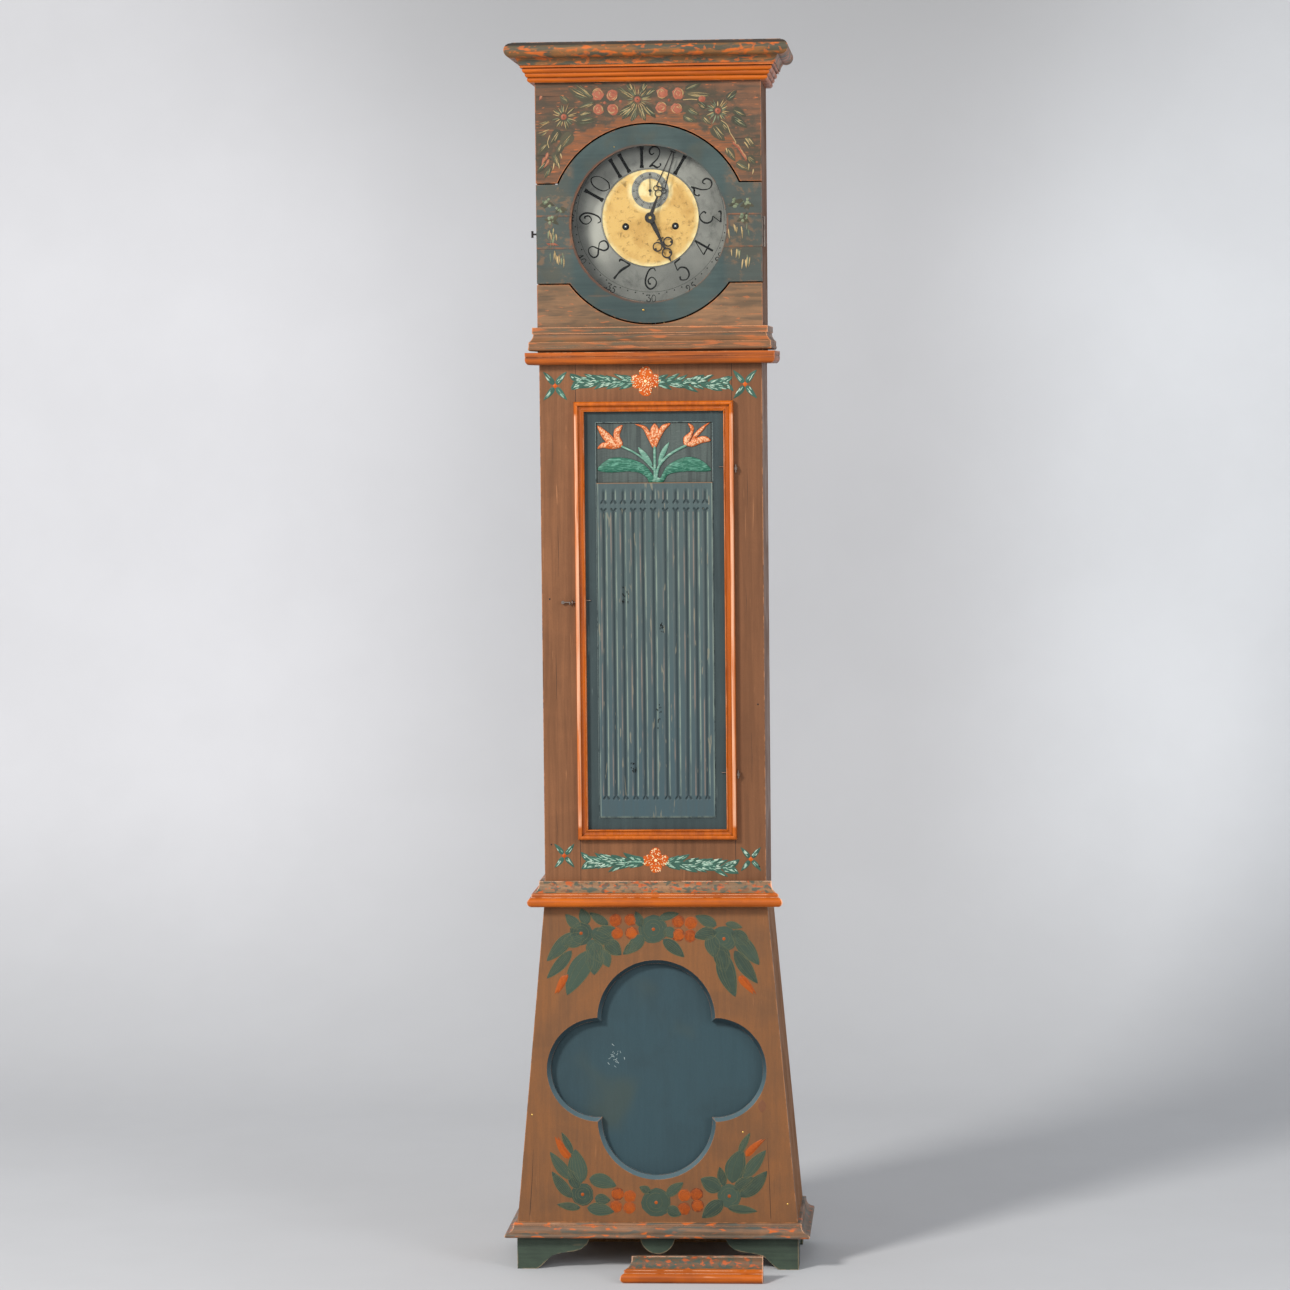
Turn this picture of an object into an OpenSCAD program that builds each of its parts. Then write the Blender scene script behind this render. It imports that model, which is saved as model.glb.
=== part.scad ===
// Painted longcase clock: flared base, slim trunk with a carved door, square hood
// with a round dial door, eight-day striking movement, seconds pendulum.
// Millimetres. Front faces -Y, the wall is the plane y = 0, the floor is z = 0.

/* [Case heights] */
// Height of the bracket feet
foot_h = 59; // [48:1:70]
// Height of the moulding between feet and base
base_mould_h = 25; // [22:1:30]
// Height of the flared base box
base_h = 566; // [540:1:600]
// Height of the trunk, from the base to the seat of the hood
trunk_h = 988; // [960:1:1040]
// Height of the hood, from its seat to the top of the cornice
hood_h = 545; // [535:1:570]

/* [Case plan] */
// Width of the trunk
trunk_w = 396; // [388:1:410]
// Depth of the trunk from wall to front face
trunk_d = 222; // [218:1:236]
// How far the hood stands out beyond the trunk at each side and in front
hood_lip = 4; // [2:0.5:6]
// How far each side of the base flares out towards the floor
flare_x = 51; // [40:1:60]
// How far the front of the base flares out towards the floor
flare_y = 33; // [24:1:40]
// How far the top of the base stands out beyond the trunk
base_lip = 2; // [1:0.5:4]

/* [Boards] */
// Thickness of the trunk and base sides
side_t = 18; // [15:0.5:20]
// Thickness of the trunk's front frame
frame_t = 22; // [18:0.5:24]
// Thickness of the base front board
base_front_t = 20; // [16:0.5:22]
// Thickness of the back board
back_t = 16; // [12:0.5:18]
// Thickness of the hood sides
hood_side_t = 14; // [11:0.5:15]
// Thickness of the hood door and of the boards in its plane
hood_front_t = 20; // [17:0.5:22]
// Thickness of shelves, the hood's roof and the seat board
shelf_t = 18; // [14:0.5:20]
// Thickness of the feet
foot_t = 18; // [14:0.5:22]

/* [Trunk door] */
// Width of each stile beside the trunk door
stile_w = 59; // [54:1:64]
// Height of the rail above the door
top_rail_h = 90.5; // [80:0.5:100]
// Height of the rail below the door
bottom_rail_h = 122; // [110:1:135]
// How far the door opening sits to the right of the centre line
door_shift = 5; // [0:0.5:7]
// Gap round the door board
door_gap = 2; // [1:0.25:3]
// Width of the moulding planted round the door
door_mould_w = 18; // [15:0.5:22]
// How far the door moulding laps over the frame
door_lap = 3; // [2:0.5:5]
// How far the door moulding stands out of the frame
door_mould_p = 13; // [9:0.5:16]

/* [Door carving] */
// Number of flutes
flute_count = 11; // [7:2:11]
// Distance from flute to flute
flute_pitch = 17.7; // [14:0.1:17.7]
// Width of a flute
flute_w = 9; // [6:0.5:11]
// Plain margin outside the outer flutes
flute_margin = 6; // [3:0.5:8]
// Height of the sunk tulip field
tulip_h = 107; // [107:1:120]
// Length of the short upper flutes
short_flute = 25; // [20:1:32]
// Depth of the sunk tulip ground below the door face
tulip_sink = 3.5; // [2:0.5:5]
// Height of the fluted field above the door face
flute_rise = 2.5; // [1:0.5:4]

/* [Quatrefoil] */
// Height of the quatrefoil's centre above the base box's lower edge
quatre_up = 273; // [265:1:290]
// Radius of the upper and lower lobes
lobe_v_r = 106; // [98:1:110]
// Radius of the side lobes
lobe_h_r = 93; // [86:1:96]
// Distance of the upper and lower lobes from the centre
lobe_v = 90.5; // [86:0.5:94]
// Distance of the side lobes from the centre
lobe_h = 104; // [98:1:106]
// Width of the bevel round the quatrefoil
quatre_bevel = 7; // [4:0.5:9]

/* [Hood door and dial] */
// Height of the door ring's centre above the hood's seat
ring_up = 226; // [222:1:232]
// Outer radius of the door ring
ring_r = 175; // [170:1:178]
// Radius of the door's round opening
opening_r = 138; // [132:1:142]
// Height of the ears above the ring's centre
ear_up = 71; // [64:1:78]
// Height of the ears below the ring's centre
ear_down = 103.5; // [96:0.5:110]
// Height of the dial's centre above the hood's seat
dial_up = 238; // [230:1:242]
// Radius of the dial
dial_r = 150; // [146:1:154]
// Inner radius of the chapter ring
chapter_r = 86; // [80:1:92]
// Distance from the dial to the front face of the hood
dial_back = 44; // [40:1:48]
// Outer radius of the seconds ring
seconds_r = 33; // [29:1:35]

/* [Movement] */
// Number of teeth of the going great wheel
great_teeth = 96; // [90:6:102]
// Distance between the movement plates
plate_gap = 60; // [58:1:64]
// Radius of the winding drums
drum_r = 24; // [21:0.5:25]
// Radius of the pulleys
pulley_r = 20; // [17:0.5:21]
// Radius of the weights
weight_r = 30; // [26:0.5:31]
// Height of the weights
weight_h = 180; // [150:1:200]
// Height of the weights' undersides at the end of their fall
weight_low = 250; // [190:1:260]
// Distance from the suspension to the centre of the pendulum bob
pendulum_l = 994; // [980:1:1000]
// Radius of the pendulum bob
bob_r = 72; // [60:1:76]
// Running clearance between an arbor and its hole
fit = 0.05; // [0.02:0.01:0.09]

/* [Loose moulding] */
// Distance from the feet's front face to the front of the loose moulding
loose_out = 124; // [112:1:160]
// Distance of the loose moulding's square end from the centre line
loose_x = 193; // [150:1:200]

/* [Hidden] */
$fn = 48;

// Hairline between boards, mitres and loose-fitted pieces
joint = 0.2;

// Heights of the main planes
base_z = foot_h + base_mould_h;
trunk_z = base_z + base_h;
seat_z = trunk_z + trunk_h;
top_z = seat_z + hood_h;

// Half widths and front planes
trunk_x = trunk_w / 2;
trunk_in = trunk_x - side_t;
base_x = trunk_x + base_lip;
foot_x = base_x + flare_x;
base_y = trunk_d + base_lip;
foot_y = base_y + flare_y;
hood_x = trunk_x + hood_lip / 2;
hood_y = trunk_d + hood_lip;
hood_in = hood_x - hood_side_t;
hood_back = hood_y - hood_front_t;
roof_z = top_z - shelf_t;

// Mouldings: height and greatest reach of each
waist_h = 45;
waist_p = 30;
trunk_top_h = 21.5;
trunk_top_p = 23.5;
hood_base_h = 41.5;
hood_base_p = 16;
hood_base_lift = 3;
bed_h = 29.5;
bed_p = 24;
crown_h = 39;
crown_p = 50;
base_mould_in = 25;
base_mould_p = 22;
cornice_z = top_z - crown_h - bed_h;
quatre_panel_t = 12;
quatre_reach = lobe_v + lobe_v_r + 11.5;
cheek_h = 150;
block_low = 60;
block_high = 270;
stand_foot = 62;

// Trunk door
open_x = trunk_x - stile_w;
open_z0 = trunk_z + bottom_rail_h;
open_z1 = seat_z - top_rail_h;
panel_w = flute_count * flute_pitch + 2 * flute_margin;
panel_top = open_z1 - 34.5;
panel_mid = panel_top - tulip_h;
panel_bottom = open_z0 + 36;
panel_seat = 6;
door_board_t = frame_t - 2;

// Hood door and dial
ring_z = seat_z + ring_up;
dial_z = seat_z + dial_up;
arch_gap = 3;
ear_gap = 2.5;
joint_up = 14;
joint_down = 43;
rebate_r = opening_r + 9;
rebate_d = 8;
closing_bevel = 3;
glass_t = 2;
dial_y = hood_y - dial_back;
dial_t = 2;
ring_t = 1.5;
wind_down = 15;
wind_r = 5.5;
seconds_up = 48.4;
seconds_in = 21;
hour_shown = 155;
minute_shown = 20;

// Hinges
hood_hinge_up = -15;
hood_hinge_h = 54;
leaf_t = 1.5;
knuckle_r = 3;
pin_r = 1.4;
hood_pin_x = hood_x + knuckle_r;
snipe_x = open_x + door_lap + 3.4;
snipe_y = trunk_d + 7;
snipe_r = 1.5;
snipe_h = 14;
snipe_low = 113.5;
snipe_high = open_z1 - open_z0 - 117.5;
latch_up = 422;
latch_x = open_x + door_lap + 23;
latch_y = trunk_d + 5;

// Movement planes, measured forward from the wall
third_fore = 28;
gather_fore = 33;
front_plate_y = dial_y - 18;
plate_t = 3;
back_plate_y = front_plate_y - plate_t - plate_gap;
plate_low = 71;
plate_high = 100;
plate_x = 92;
seat_board_z = dial_z - plate_low;
great_y = back_plate_y + 5;
third_y = back_plate_y + third_fore;
escape_y = back_plate_y + 10;
centre_y = front_plate_y - plate_t - 4;
pin_y = centre_y - 4.5;
gather_y = back_plate_y + gather_fore;
drum_y0 = great_y + 4;
drum_y1 = pin_y - 9;
motion_y = front_plate_y + 4;
pendulum_y = back_plate_y - 23;
arbor_r = 1.5;

// Wheel work: leaves and modules of the trains
great_m = 0.9;
centre_leaves = 8;
centre_teeth = 60;
centre_m = 0.85;
third_leaves = 8;
third_teeth = 56;
third_m = 0.8;
escape_leaves = 7;
escape_teeth = 30;
escape_r = 20;
cannon_teeth = 40;
cannon_m = 0.65;
hour_teeth = 72;
hour_leaves = 6;
hour_m = 2 / 3;
strike_teeth = 78;
pin_leaves = 8;
pin_teeth = 56;
gather_leaves = 7;
gather_teeth = 48;
gather_m = 0.75;
fly_leaves = 6;

function reach(wheel, leaves, m) = (wheel + leaves) * m / 2;
function polar(r, a) = [r * cos(a), r * sin(a)];
function heading(p, q) = atan2(q[1] - p[1], q[0] - p[0]);

// Arbor places [x, up] from the dial's centre, each at its meshing distance
centre_at = [0, 0];
great_reach = reach(great_teeth, centre_leaves, great_m);
great_at = [sqrt(great_reach * great_reach - wind_down * wind_down), -wind_down];
escape_at = [0, seconds_up];
third_reach = reach(centre_teeth, third_leaves, centre_m);
escape_reach = reach(third_teeth, escape_leaves, third_m);
third_up = (third_reach * third_reach - escape_reach * escape_reach
    + seconds_up * seconds_up) / (2 * seconds_up);
third_at = [sqrt(third_reach * third_reach - third_up * third_up), third_up];
pallet_at = escape_at + [0, escape_r * sqrt(2)];
minute_at = polar(reach(cannon_teeth, cannon_teeth, cannon_m), -135);
strike_at = [-great_at[0], -wind_down];
pin_at = strike_at + polar(reach(strike_teeth, pin_leaves, great_m), 80);
gather_at = pin_at + polar(reach(pin_teeth, gather_leaves, third_m), 110);
fly_at = gather_at + polar(reach(gather_teeth, fly_leaves, gather_m), 100);
hammer_at = [-72, 40];

// Each line leaves the left side of its drum, so that both wind clockwise, and runs
// under a pulley on the weight to the seat board
line_r = 0.9;
line_off = drum_r + line_r + 0.3;
going_x = great_at[0] - line_off;
strike_x = strike_at[0] - line_off;
weight_y = (drum_y0 + drum_y1) / 2;
weight_top = weight_low + weight_h;
pulley_z = weight_top + 52;

// Bell above the plates
bell_r = 42;
bell_h = 32;
bell_up = plate_high + 26;
bell_y = weight_y;

// Colours
brown = [0.42, 0.25, 0.16];
base_brown = [0.55, 0.31, 0.17];
slate = [0.20, 0.29, 0.31];
orange = [0.78, 0.32, 0.08];
green = [0.17, 0.29, 0.25];
pine = [0.70, 0.53, 0.34];
speckled = [0.36, 0.30, 0.24];
brass = [0.78, 0.60, 0.28];
steel = [0.36, 0.37, 0.39];
iron = [0.16, 0.16, 0.17];
pewter = [0.36, 0.38, 0.39];

// Placing helpers
// Extrudes a front view (x across, y up) from depth y0 to depth y1 ahead of the wall
module front_cut(y0, y1) {
    translate([0, -y0, 0]) rotate([90, 0, 0]) linear_extrude(y1 - y0) children();
}

// Extrudes a side view (x forward, y up) from x0 to x1 across
module side_cut(x0, x1) {
    translate([x0, 0, 0]) rotate([90, 0, 90]) linear_extrude(x1 - x0) mirror([1, 0]) children();
}

// Board between x0 and x1, y0 and y1 ahead of the wall, z0 and z1
module board(x0, x1, y0, y1, z0, z1) {
    translate([x0, -y1, z0]) cube([x1 - x0, y1 - y0, z1 - z0]);
}

module on_door() {
    translate([door_shift, 0, 0]) children();
}

module both_sides() {
    children();
    mirror([1, 0, 0]) children();
}

// Rod or disc along Y, centred on [x, z], from depth y0 to y1
module turned(at, r, y0, y1) {
    translate([at[0], -y0, at[1]]) rotate([90, 0, 0]) cylinder(h = y1 - y0, r = r);
}

// Places children at an arbor of the movement: local x across, y up, z forward
module on_arbor(at, depth) {
    translate([at[0], -depth, dial_z + at[1]]) rotate([90, 0, 0]) children();
}

// Mouldings: child is the profile, x = reach from the wall side, y = height
// Front run mitred at both ends, round a body hw wide each side and fd deep
module mould_front(hw, fd, z0, h, p) {
    intersection() {
        translate([0, -fd, z0]) side_cut(-hw - p, hw + p) children();
        translate([0, 0, z0 - 1]) linear_extrude(h + 2)
            polygon([[-hw, -fd], [hw, -fd], [hw + p, -fd - p], [-hw - p, -fd - p]]);
    }
}

// Right return, mitred to the front run, square at the back
module mould_return(hw, fd, z0, h, p) {
    intersection() {
        translate([hw, 0, z0]) rotate([90, 0, 0]) linear_extrude(fd + p) children();
        translate([0, 0, z0 - 1]) linear_extrude(h + 2)
            polygon([[hw, 0], [hw, joint - fd], [hw + p, joint - fd - p], [hw + p, 0]]);
    }
}

// Moulding profiles
module waist_profile() {
    bead = 17;
    cove = 18;
    square([waist_p - bead / 2, bead]);
    translate([waist_p - bead / 2, bead / 2]) circle(d = bead);
    difference() {
        square([23, waist_h - 5]);
        translate([10 + cove, waist_h - 5]) circle(r = cove);
    }
    square([10, waist_h]);
}

module trunk_top_profile() {
    ovolo = 10;
    intersection() {
        square([trunk_top_p, trunk_top_h]);
        union() {
            translate([0, 9]) square([trunk_top_p, 4]);
            translate([0, 14]) square([trunk_top_p, 8]);
            square([trunk_top_p - 1.2, trunk_top_h]);
            translate([trunk_top_p - ovolo, 9]) circle(r = ovolo);
            square([trunk_top_p - ovolo, trunk_top_h]);
        }
        union() {
            translate([0, 9]) square([trunk_top_p, trunk_top_h]);
            translate([trunk_top_p - ovolo, 9]) circle(r = ovolo);
            square([trunk_top_p - ovolo, trunk_top_h]);
        }
    }
}

module hood_base_profile() {
    cove = 20;
    square([12, 8]);
    translate([12, 4]) circle(r = 4);
    difference() {
        translate([0, 7]) square([15, 24]);
        translate([7 + cove, 31]) circle(r = cove);
    }
    translate([0, 30]) square([9, hood_base_h - 30]);
}

module bed_profile() {
    square([9, bed_h]);
    translate([8, 5]) circle(r = 4.5);
    translate([11, 13.5]) circle(r = 5);
    translate([15, 21.5]) circle(r = 5.5);
    translate([0, bed_h - 4]) square([bed_p, 4]);
    square([9, 20]);
    translate([0, 12]) square([14, 12]);
}

module crown_profile() {
    nose = 13;
    cove = 21;
    difference() {
        square([crown_p - 4, crown_h - 15]);
        translate([crown_p - 3, -2]) circle(r = cove);
    }
    translate([crown_p - nose, crown_h - nose - 1]) circle(r = nose);
    translate([0, crown_h - 15]) square([crown_p - nose, 15]);
}

module base_profile() {
    cove = 13;
    full = base_mould_in + base_mould_p;
    square([full - 3.5, 7]);
    translate([full - 3.5, 3.5]) circle(r = 3.5);
    difference() {
        translate([0, 6]) square([full - 3, 14]);
        translate([base_mould_in + 7 + cove, 20]) circle(r = cove);
    }
    square([base_mould_in + 4, base_mould_h]);
    translate([base_mould_in + 4, base_mould_h - 3]) circle(r = 3);
}

module door_mould_profile() {
    // x runs inward from the outer edge, y stands out of the frame
    hollow = 5;
    difference() {
        union() {
            square([door_mould_w, door_mould_p - 5]);
            translate([0, door_mould_p - 6]) square([door_mould_w * 0.45, 2]);
            translate([door_mould_w * 0.24, door_mould_p - 4.4]) circle(r = 4.3);
            translate([door_mould_w - 3, door_mould_p - 6]) circle(r = 3);
        }
        translate([door_mould_w * 0.66, door_mould_p - 1.5]) circle(r = hollow);
        translate([-10, -10]) square([door_mould_w + 20, 10]);
    }
}

// Base and feet
// Board parallel to the flared front: inset from the face, t thick, side_in clear of
// the outer side faces, from height z0 to z1 above the base's lower edge
module flared_front(inset, t, side_in, z0, z1) {
    slope_x = flare_x / base_h;
    slope_y = flare_y / base_h;
    intersection() {
        side_cut(-foot_x, foot_x) polygon([
            [foot_y - slope_y * z0 - inset, base_z + z0],
            [foot_y - slope_y * z1 - inset, base_z + z1],
            [foot_y - slope_y * z1 - inset - t, base_z + z1],
            [foot_y - slope_y * z0 - inset - t, base_z + z0]]);
        front_cut(0, foot_y + 1) polygon([
            [-(foot_x - slope_x * z0 - side_in), base_z + z0],
            [foot_x - slope_x * z0 - side_in, base_z + z0],
            [foot_x - slope_x * z1 - side_in, base_z + z1],
            [-(foot_x - slope_x * z1 - side_in), base_z + z1]]);
    }
}

// Four lobes; shrink draws each radius in
module quatre_lobes(h, shrink0, shrink1) {
    for (s = [-1, 1]) {
        translate([0, s * lobe_v, 0])
            cylinder(h = h, r1 = lobe_v_r - shrink0, r2 = lobe_v_r - shrink1);
        translate([s * lobe_h, 0, 0])
            cylinder(h = h, r1 = lobe_h_r - shrink0, r2 = lobe_h_r - shrink1);
    }
}

module base_front_board() {
    lean = atan(flare_y / base_h);
    face_y = foot_y - flare_y / base_h * quatre_up;
    color(base_brown) difference() {
        flared_front(0, base_front_t, 0, 0, base_h);
        translate([0, -face_y, base_z + quatre_up]) rotate([90 - lean, 0, 0]) {
            translate([0, 0, -base_front_t - 2])
                quatre_lobes(base_front_t + 12, quatre_bevel, quatre_bevel);
            translate([0, 0, -quatre_bevel]) quatre_lobes(quatre_bevel, quatre_bevel, 0);
            quatre_lobes(10, 0, 0);
        }
    }
}

module quatrefoil_panel() {
    color(slate)
        flared_front(base_front_t + joint / 2, quatre_panel_t, side_t + 1,
            quatre_up - quatre_reach, quatre_up + quatre_reach);
}

module base_sides() {
    inner_y = base_y - base_front_t;
    color(base_brown) both_sides() intersection() {
        front_cut(0, foot_y) polygon([
            [foot_x, base_z], [base_x, trunk_z],
            [base_x - side_t, trunk_z], [foot_x - side_t, base_z]]);
        side_cut(0, foot_x + 1) polygon([
            [0, base_z], [foot_y - base_front_t, base_z],
            [inner_y, trunk_z], [0, trunk_z]]);
    }
}

module base_shelves() {
    floor_x = foot_x - side_t - flare_x / base_h * shelf_t - 0.5;
    floor_y = foot_y - base_front_t - flare_y / base_h * shelf_t - 0.5;
    frame_x = base_x - side_t - 1;
    frame_y = base_y - base_front_t;
    color(pine) {
        difference() {
            board(-floor_x, floor_x, 0, floor_y, base_z, base_z + shelf_t);
            board(-trunk_in, trunk_in, -1, back_t, base_z - 1, base_z + shelf_t + 1);
        }
        difference() {
            board(-frame_x, frame_x, back_t, frame_y, trunk_z - shelf_t, trunk_z);
            board(-frame_x + 28, frame_x - 28, back_t + 12, frame_y - 14,
                trunk_z - shelf_t - 1, trunk_z + 1);
        }
    }
}

// One bracket foot, its square outer edge at x = 0, running towards +x
module foot_outline(w) {
    polygon([[0, 0], [34, 0], [41, 4], [w * 0.47, 24], [w * 0.6, 29], [w * 0.77, 32],
        [w * 0.87, 36], [w * 0.95, 45], [w, foot_h], [0, foot_h]]);
}

module bracket_feet() {
    front_w = 132;
    back_w = 90;
    drop_r = 31;
    edge_x = foot_x + 1;
    edge_y = foot_y + 1;
    color(green) {
        both_sides() {
            front_cut(edge_y - foot_t, edge_y) translate([-edge_x, 0]) foot_outline(front_w);
            side_cut(edge_x - foot_t, edge_x) union() {
                translate([edge_y - foot_t - joint, 0]) mirror([1, 0])
                    foot_outline(front_w - foot_t);
                foot_outline(back_w);
            }
        }
        front_cut(edge_y - foot_t, edge_y) intersection() {
            translate([0, foot_h]) circle(r = drop_r);
            translate([-drop_r, 0]) square([2 * drop_r, foot_h]);
        }
    }
}

module base_moulding() {
    hw = foot_x - base_mould_in;
    fd = foot_y - base_mould_in;
    p = base_mould_in + base_mould_p;
    color(speckled) {
        mould_front(hw, fd, foot_h, base_mould_h, p) base_profile();
        both_sides() mould_return(hw, fd, foot_h, base_mould_h, p) base_profile();
    }
}

// Trunk
module waist_moulding() {
    color(orange) {
        mould_front(trunk_x, trunk_d, trunk_z, waist_h, waist_p) waist_profile();
        mirror([1, 0, 0])
            mould_return(trunk_x, trunk_d, trunk_z, waist_h, waist_p) waist_profile();
    }
}

// The right return has come off and lies on the floor in front of the feet
module loose_moulding() {
    back_y = foot_y + 1 + loose_out - waist_p;
    color(orange) translate([loose_x, -back_y, -trunk_z]) rotate([0, 0, -90])
        translate([-trunk_x, 0, 0])
            mould_return(trunk_x, trunk_d, trunk_z, waist_h, waist_p) waist_profile();
}

module back_boards() {
    skirt_x = foot_x - side_t;
    color(pine) {
        board(-trunk_in, trunk_in, 0, back_t, 0, roof_z - 3);
        both_sides() front_cut(0, back_t) polygon([
            [trunk_in + joint, base_z + shelf_t],
            [skirt_x - flare_x / base_h * shelf_t, base_z + shelf_t],
            [base_x - side_t, trunk_z], [trunk_in + joint, trunk_z]]);
    }
}

module trunk_sides() {
    color(brown) both_sides() board(trunk_in, trunk_x, 0, trunk_d - frame_t, trunk_z, seat_z);
}

module trunk_front_frame() {
    rail_x = open_x - joint;
    color(brown) {
        board(door_shift + open_x, trunk_x, trunk_d - frame_t, trunk_d, trunk_z, seat_z);
        board(-trunk_x, door_shift - open_x, trunk_d - frame_t, trunk_d, trunk_z, seat_z);
        for (z = [[trunk_z, open_z0], [open_z1, seat_z]])
            board(door_shift - rail_x, door_shift + rail_x, trunk_d - frame_t, trunk_d, z[0], z[1]);
    }
}

module trunk_top_moulding() {
    z0 = seat_z - trunk_top_h;
    color(orange) {
        mould_front(trunk_x, trunk_d, z0, trunk_top_h, trunk_top_p) trunk_top_profile();
        both_sides()
            mould_return(trunk_x, trunk_d, z0, trunk_top_h, trunk_top_p) trunk_top_profile();
    }
}

// Seat board on two cheeks, slotted for the lines
module seat_board() {
    cheek_t = 16;
    slot_w = 7;
    slot_y = drum_y1 - drum_y0;
    z0 = seat_board_z - shelf_t;
    color(pine) {
        both_sides() board(trunk_in - cheek_t, trunk_in, back_t, trunk_d - frame_t - 12,
            seat_z - cheek_h, z0 - joint);
        difference() {
            board(-trunk_in + 1, trunk_in - 1, back_plate_y - 6, front_plate_y + 6,
                z0, seat_board_z);
            for (x = [going_x, strike_x]) translate([x - slot_w / 2, -weight_y - slot_y / 2, z0 - 1])
                cube([slot_w, slot_y, shelf_t + 2]);
        }
    }
}

module glue_blocks() {
    block = 20;
    color(pine) both_sides() {
        for (z = [trunk_z + block_low, trunk_z + trunk_h / 2, seat_z - block_high])
            board(trunk_in - block, trunk_in, trunk_d - frame_t - block, trunk_d - frame_t,
                z, z + 90);
        board(base_x - side_t - 29, base_x - side_t - 1, back_t + 12, base_y - base_front_t - 20,
            trunk_z - shelf_t - 22, trunk_z - shelf_t);
    }
}

// Trunk door
module door_board() {
    half = open_x - door_gap;
    pocket = panel_w / 2;
    color(slate) difference() {
        board(-half, half, trunk_d - door_board_t, trunk_d, open_z0 + door_gap, open_z1 - door_gap);
        board(-pocket, pocket, trunk_d - panel_seat, trunk_d + 1, panel_bottom, panel_top);
    }
}

// Leaf between points a and b, its two edges bulging by s1 and s2
function bulged(a, b, s, n) = [for (i = [0:n]) let (t = i / n,
    d = b - a, u = [-d[1], d[0]] / norm(d)) a + d * t + u * (4 * s * t * (1 - t))];
function leaf(a, b, s1, s2) = concat(bulged(a, b, s1, 7),
    [for (i = [6:-1:1]) bulged(a, b, s2, 7)[i]]);

// Tulip of three petals: foot of the cup, then left, middle and right tips
module tulip(foot, left, middle, right) {
    polygon(leaf(foot, left, 17, -6));
    polygon(leaf(foot, middle, 9, -9));
    polygon(leaf(foot, right, 6, -17));
}

module tulip_flowers() {
    tulip([-59, 67], [-102, 63], [-99, 100], [-59, 101]);
    tulip([-1, 66], [-34, 103], [0, 104], [30, 103]);
    tulip([53, 67], [62, 103], [97, 104], [100, 74]);
}

module tulip_leaves() {
    polygon(leaf([-12, 1.5], [-101, 26], -28, -10));
    polygon(leaf([12, 1.5], [99, 24], 30, 11));
    polygon(leaf([-3, 30], [-28, 64], 5, -3));
    polygon(leaf([8, 24], [27, 70], 4, -5));
    polygon(leaf([-14, 1.5], [14, 1.5], 14, 0));
    polygon(leaf([-2, 2], [-59, 69], -6, -1));
    polygon(leaf([0, 2], [-1, 69], 3, -3));
    polygon(leaf([4, 2], [53, 69], 12, 5));
}

module tulip_carving() {
    half = panel_w / 2;
    ground = trunk_d - tulip_sink;
    color([0.35, 0.42, 0.32]) union() {
        board(-half, half, trunk_d - panel_seat, ground, panel_mid, panel_top);
        translate([0, 0, panel_mid]) front_cut(ground, trunk_d) tulip_leaves();
        translate([0, 0, panel_mid]) front_cut(ground, trunk_d + 0.8) tulip_flowers();
    }
}

// Half-round groove with round ends, centred on x, from z0 to z1
module flute(x, z0, z1) {
    deep = 2.4;
    r = (flute_w * flute_w / 4 + deep * deep) / (2 * deep);
    translate([x, -(trunk_d + flute_rise) + deep - r, 0]) {
        translate([0, 0, z0]) cylinder(h = z1 - z0, r = r);
        translate([0, 0, z0]) sphere(r = r);
        translate([0, 0, z1]) sphere(r = r);
    }
}

// Two straight cuts that part at the end of a flute, upwards, or downwards when turned by 180
module fishtail(x, z, turn) {
    for (s = [-1, 1]) translate([x, -(trunk_d + flute_rise), z]) rotate([0, 35 * s + turn, 0])
        linear_extrude(9) polygon([[-2.2, -0.4], [2.2, -0.4], [0, 1.8]]);
}

module fluted_panel() {
    half = panel_w / 2;
    z_short = panel_mid - 11 - short_flute;
    color(slate) difference() {
        board(-half, half, trunk_d - panel_seat, trunk_d + flute_rise, panel_bottom, panel_mid);
        for (i = [0:flute_count - 1]) {
            x = (i - (flute_count - 1) / 2) * flute_pitch;
            flute(x, z_short + 8, z_short + short_flute - 3);
            fishtail(x, z_short + 8, 180);
            flute(x, panel_bottom + 45, z_short - 17);
            fishtail(x, z_short - 17, 0);
            fishtail(x, panel_bottom + 45, 180);
        }
    }
}

// One length of door moulding along +X, mitred at both ends
module door_mould_run(len) {
    intersection() {
        rotate([90, 0, 90]) linear_extrude(len) door_mould_profile();
        linear_extrude(door_mould_p + 1) polygon([[joint, 0], [len - joint, 0],
            [len - joint - door_mould_w, door_mould_w], [joint + door_mould_w, door_mould_w]]);
    }
}

module door_moulding() {
    x = open_x + door_lap;
    z0 = open_z0 - door_lap;
    z1 = open_z1 + door_lap;
    color(orange) translate([0, -trunk_d, 0]) rotate([90, 0, 0]) {
        translate([-x, z0, 0]) door_mould_run(2 * x);
        translate([x, z1, 0]) rotate([0, 0, 180]) door_mould_run(2 * x);
        translate([x, z0, 0]) rotate([0, 0, 90]) door_mould_run(z1 - z0);
        translate([-x, z1, 0]) rotate([0, 0, -90]) door_mould_run(z1 - z0);
    }
}

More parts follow.
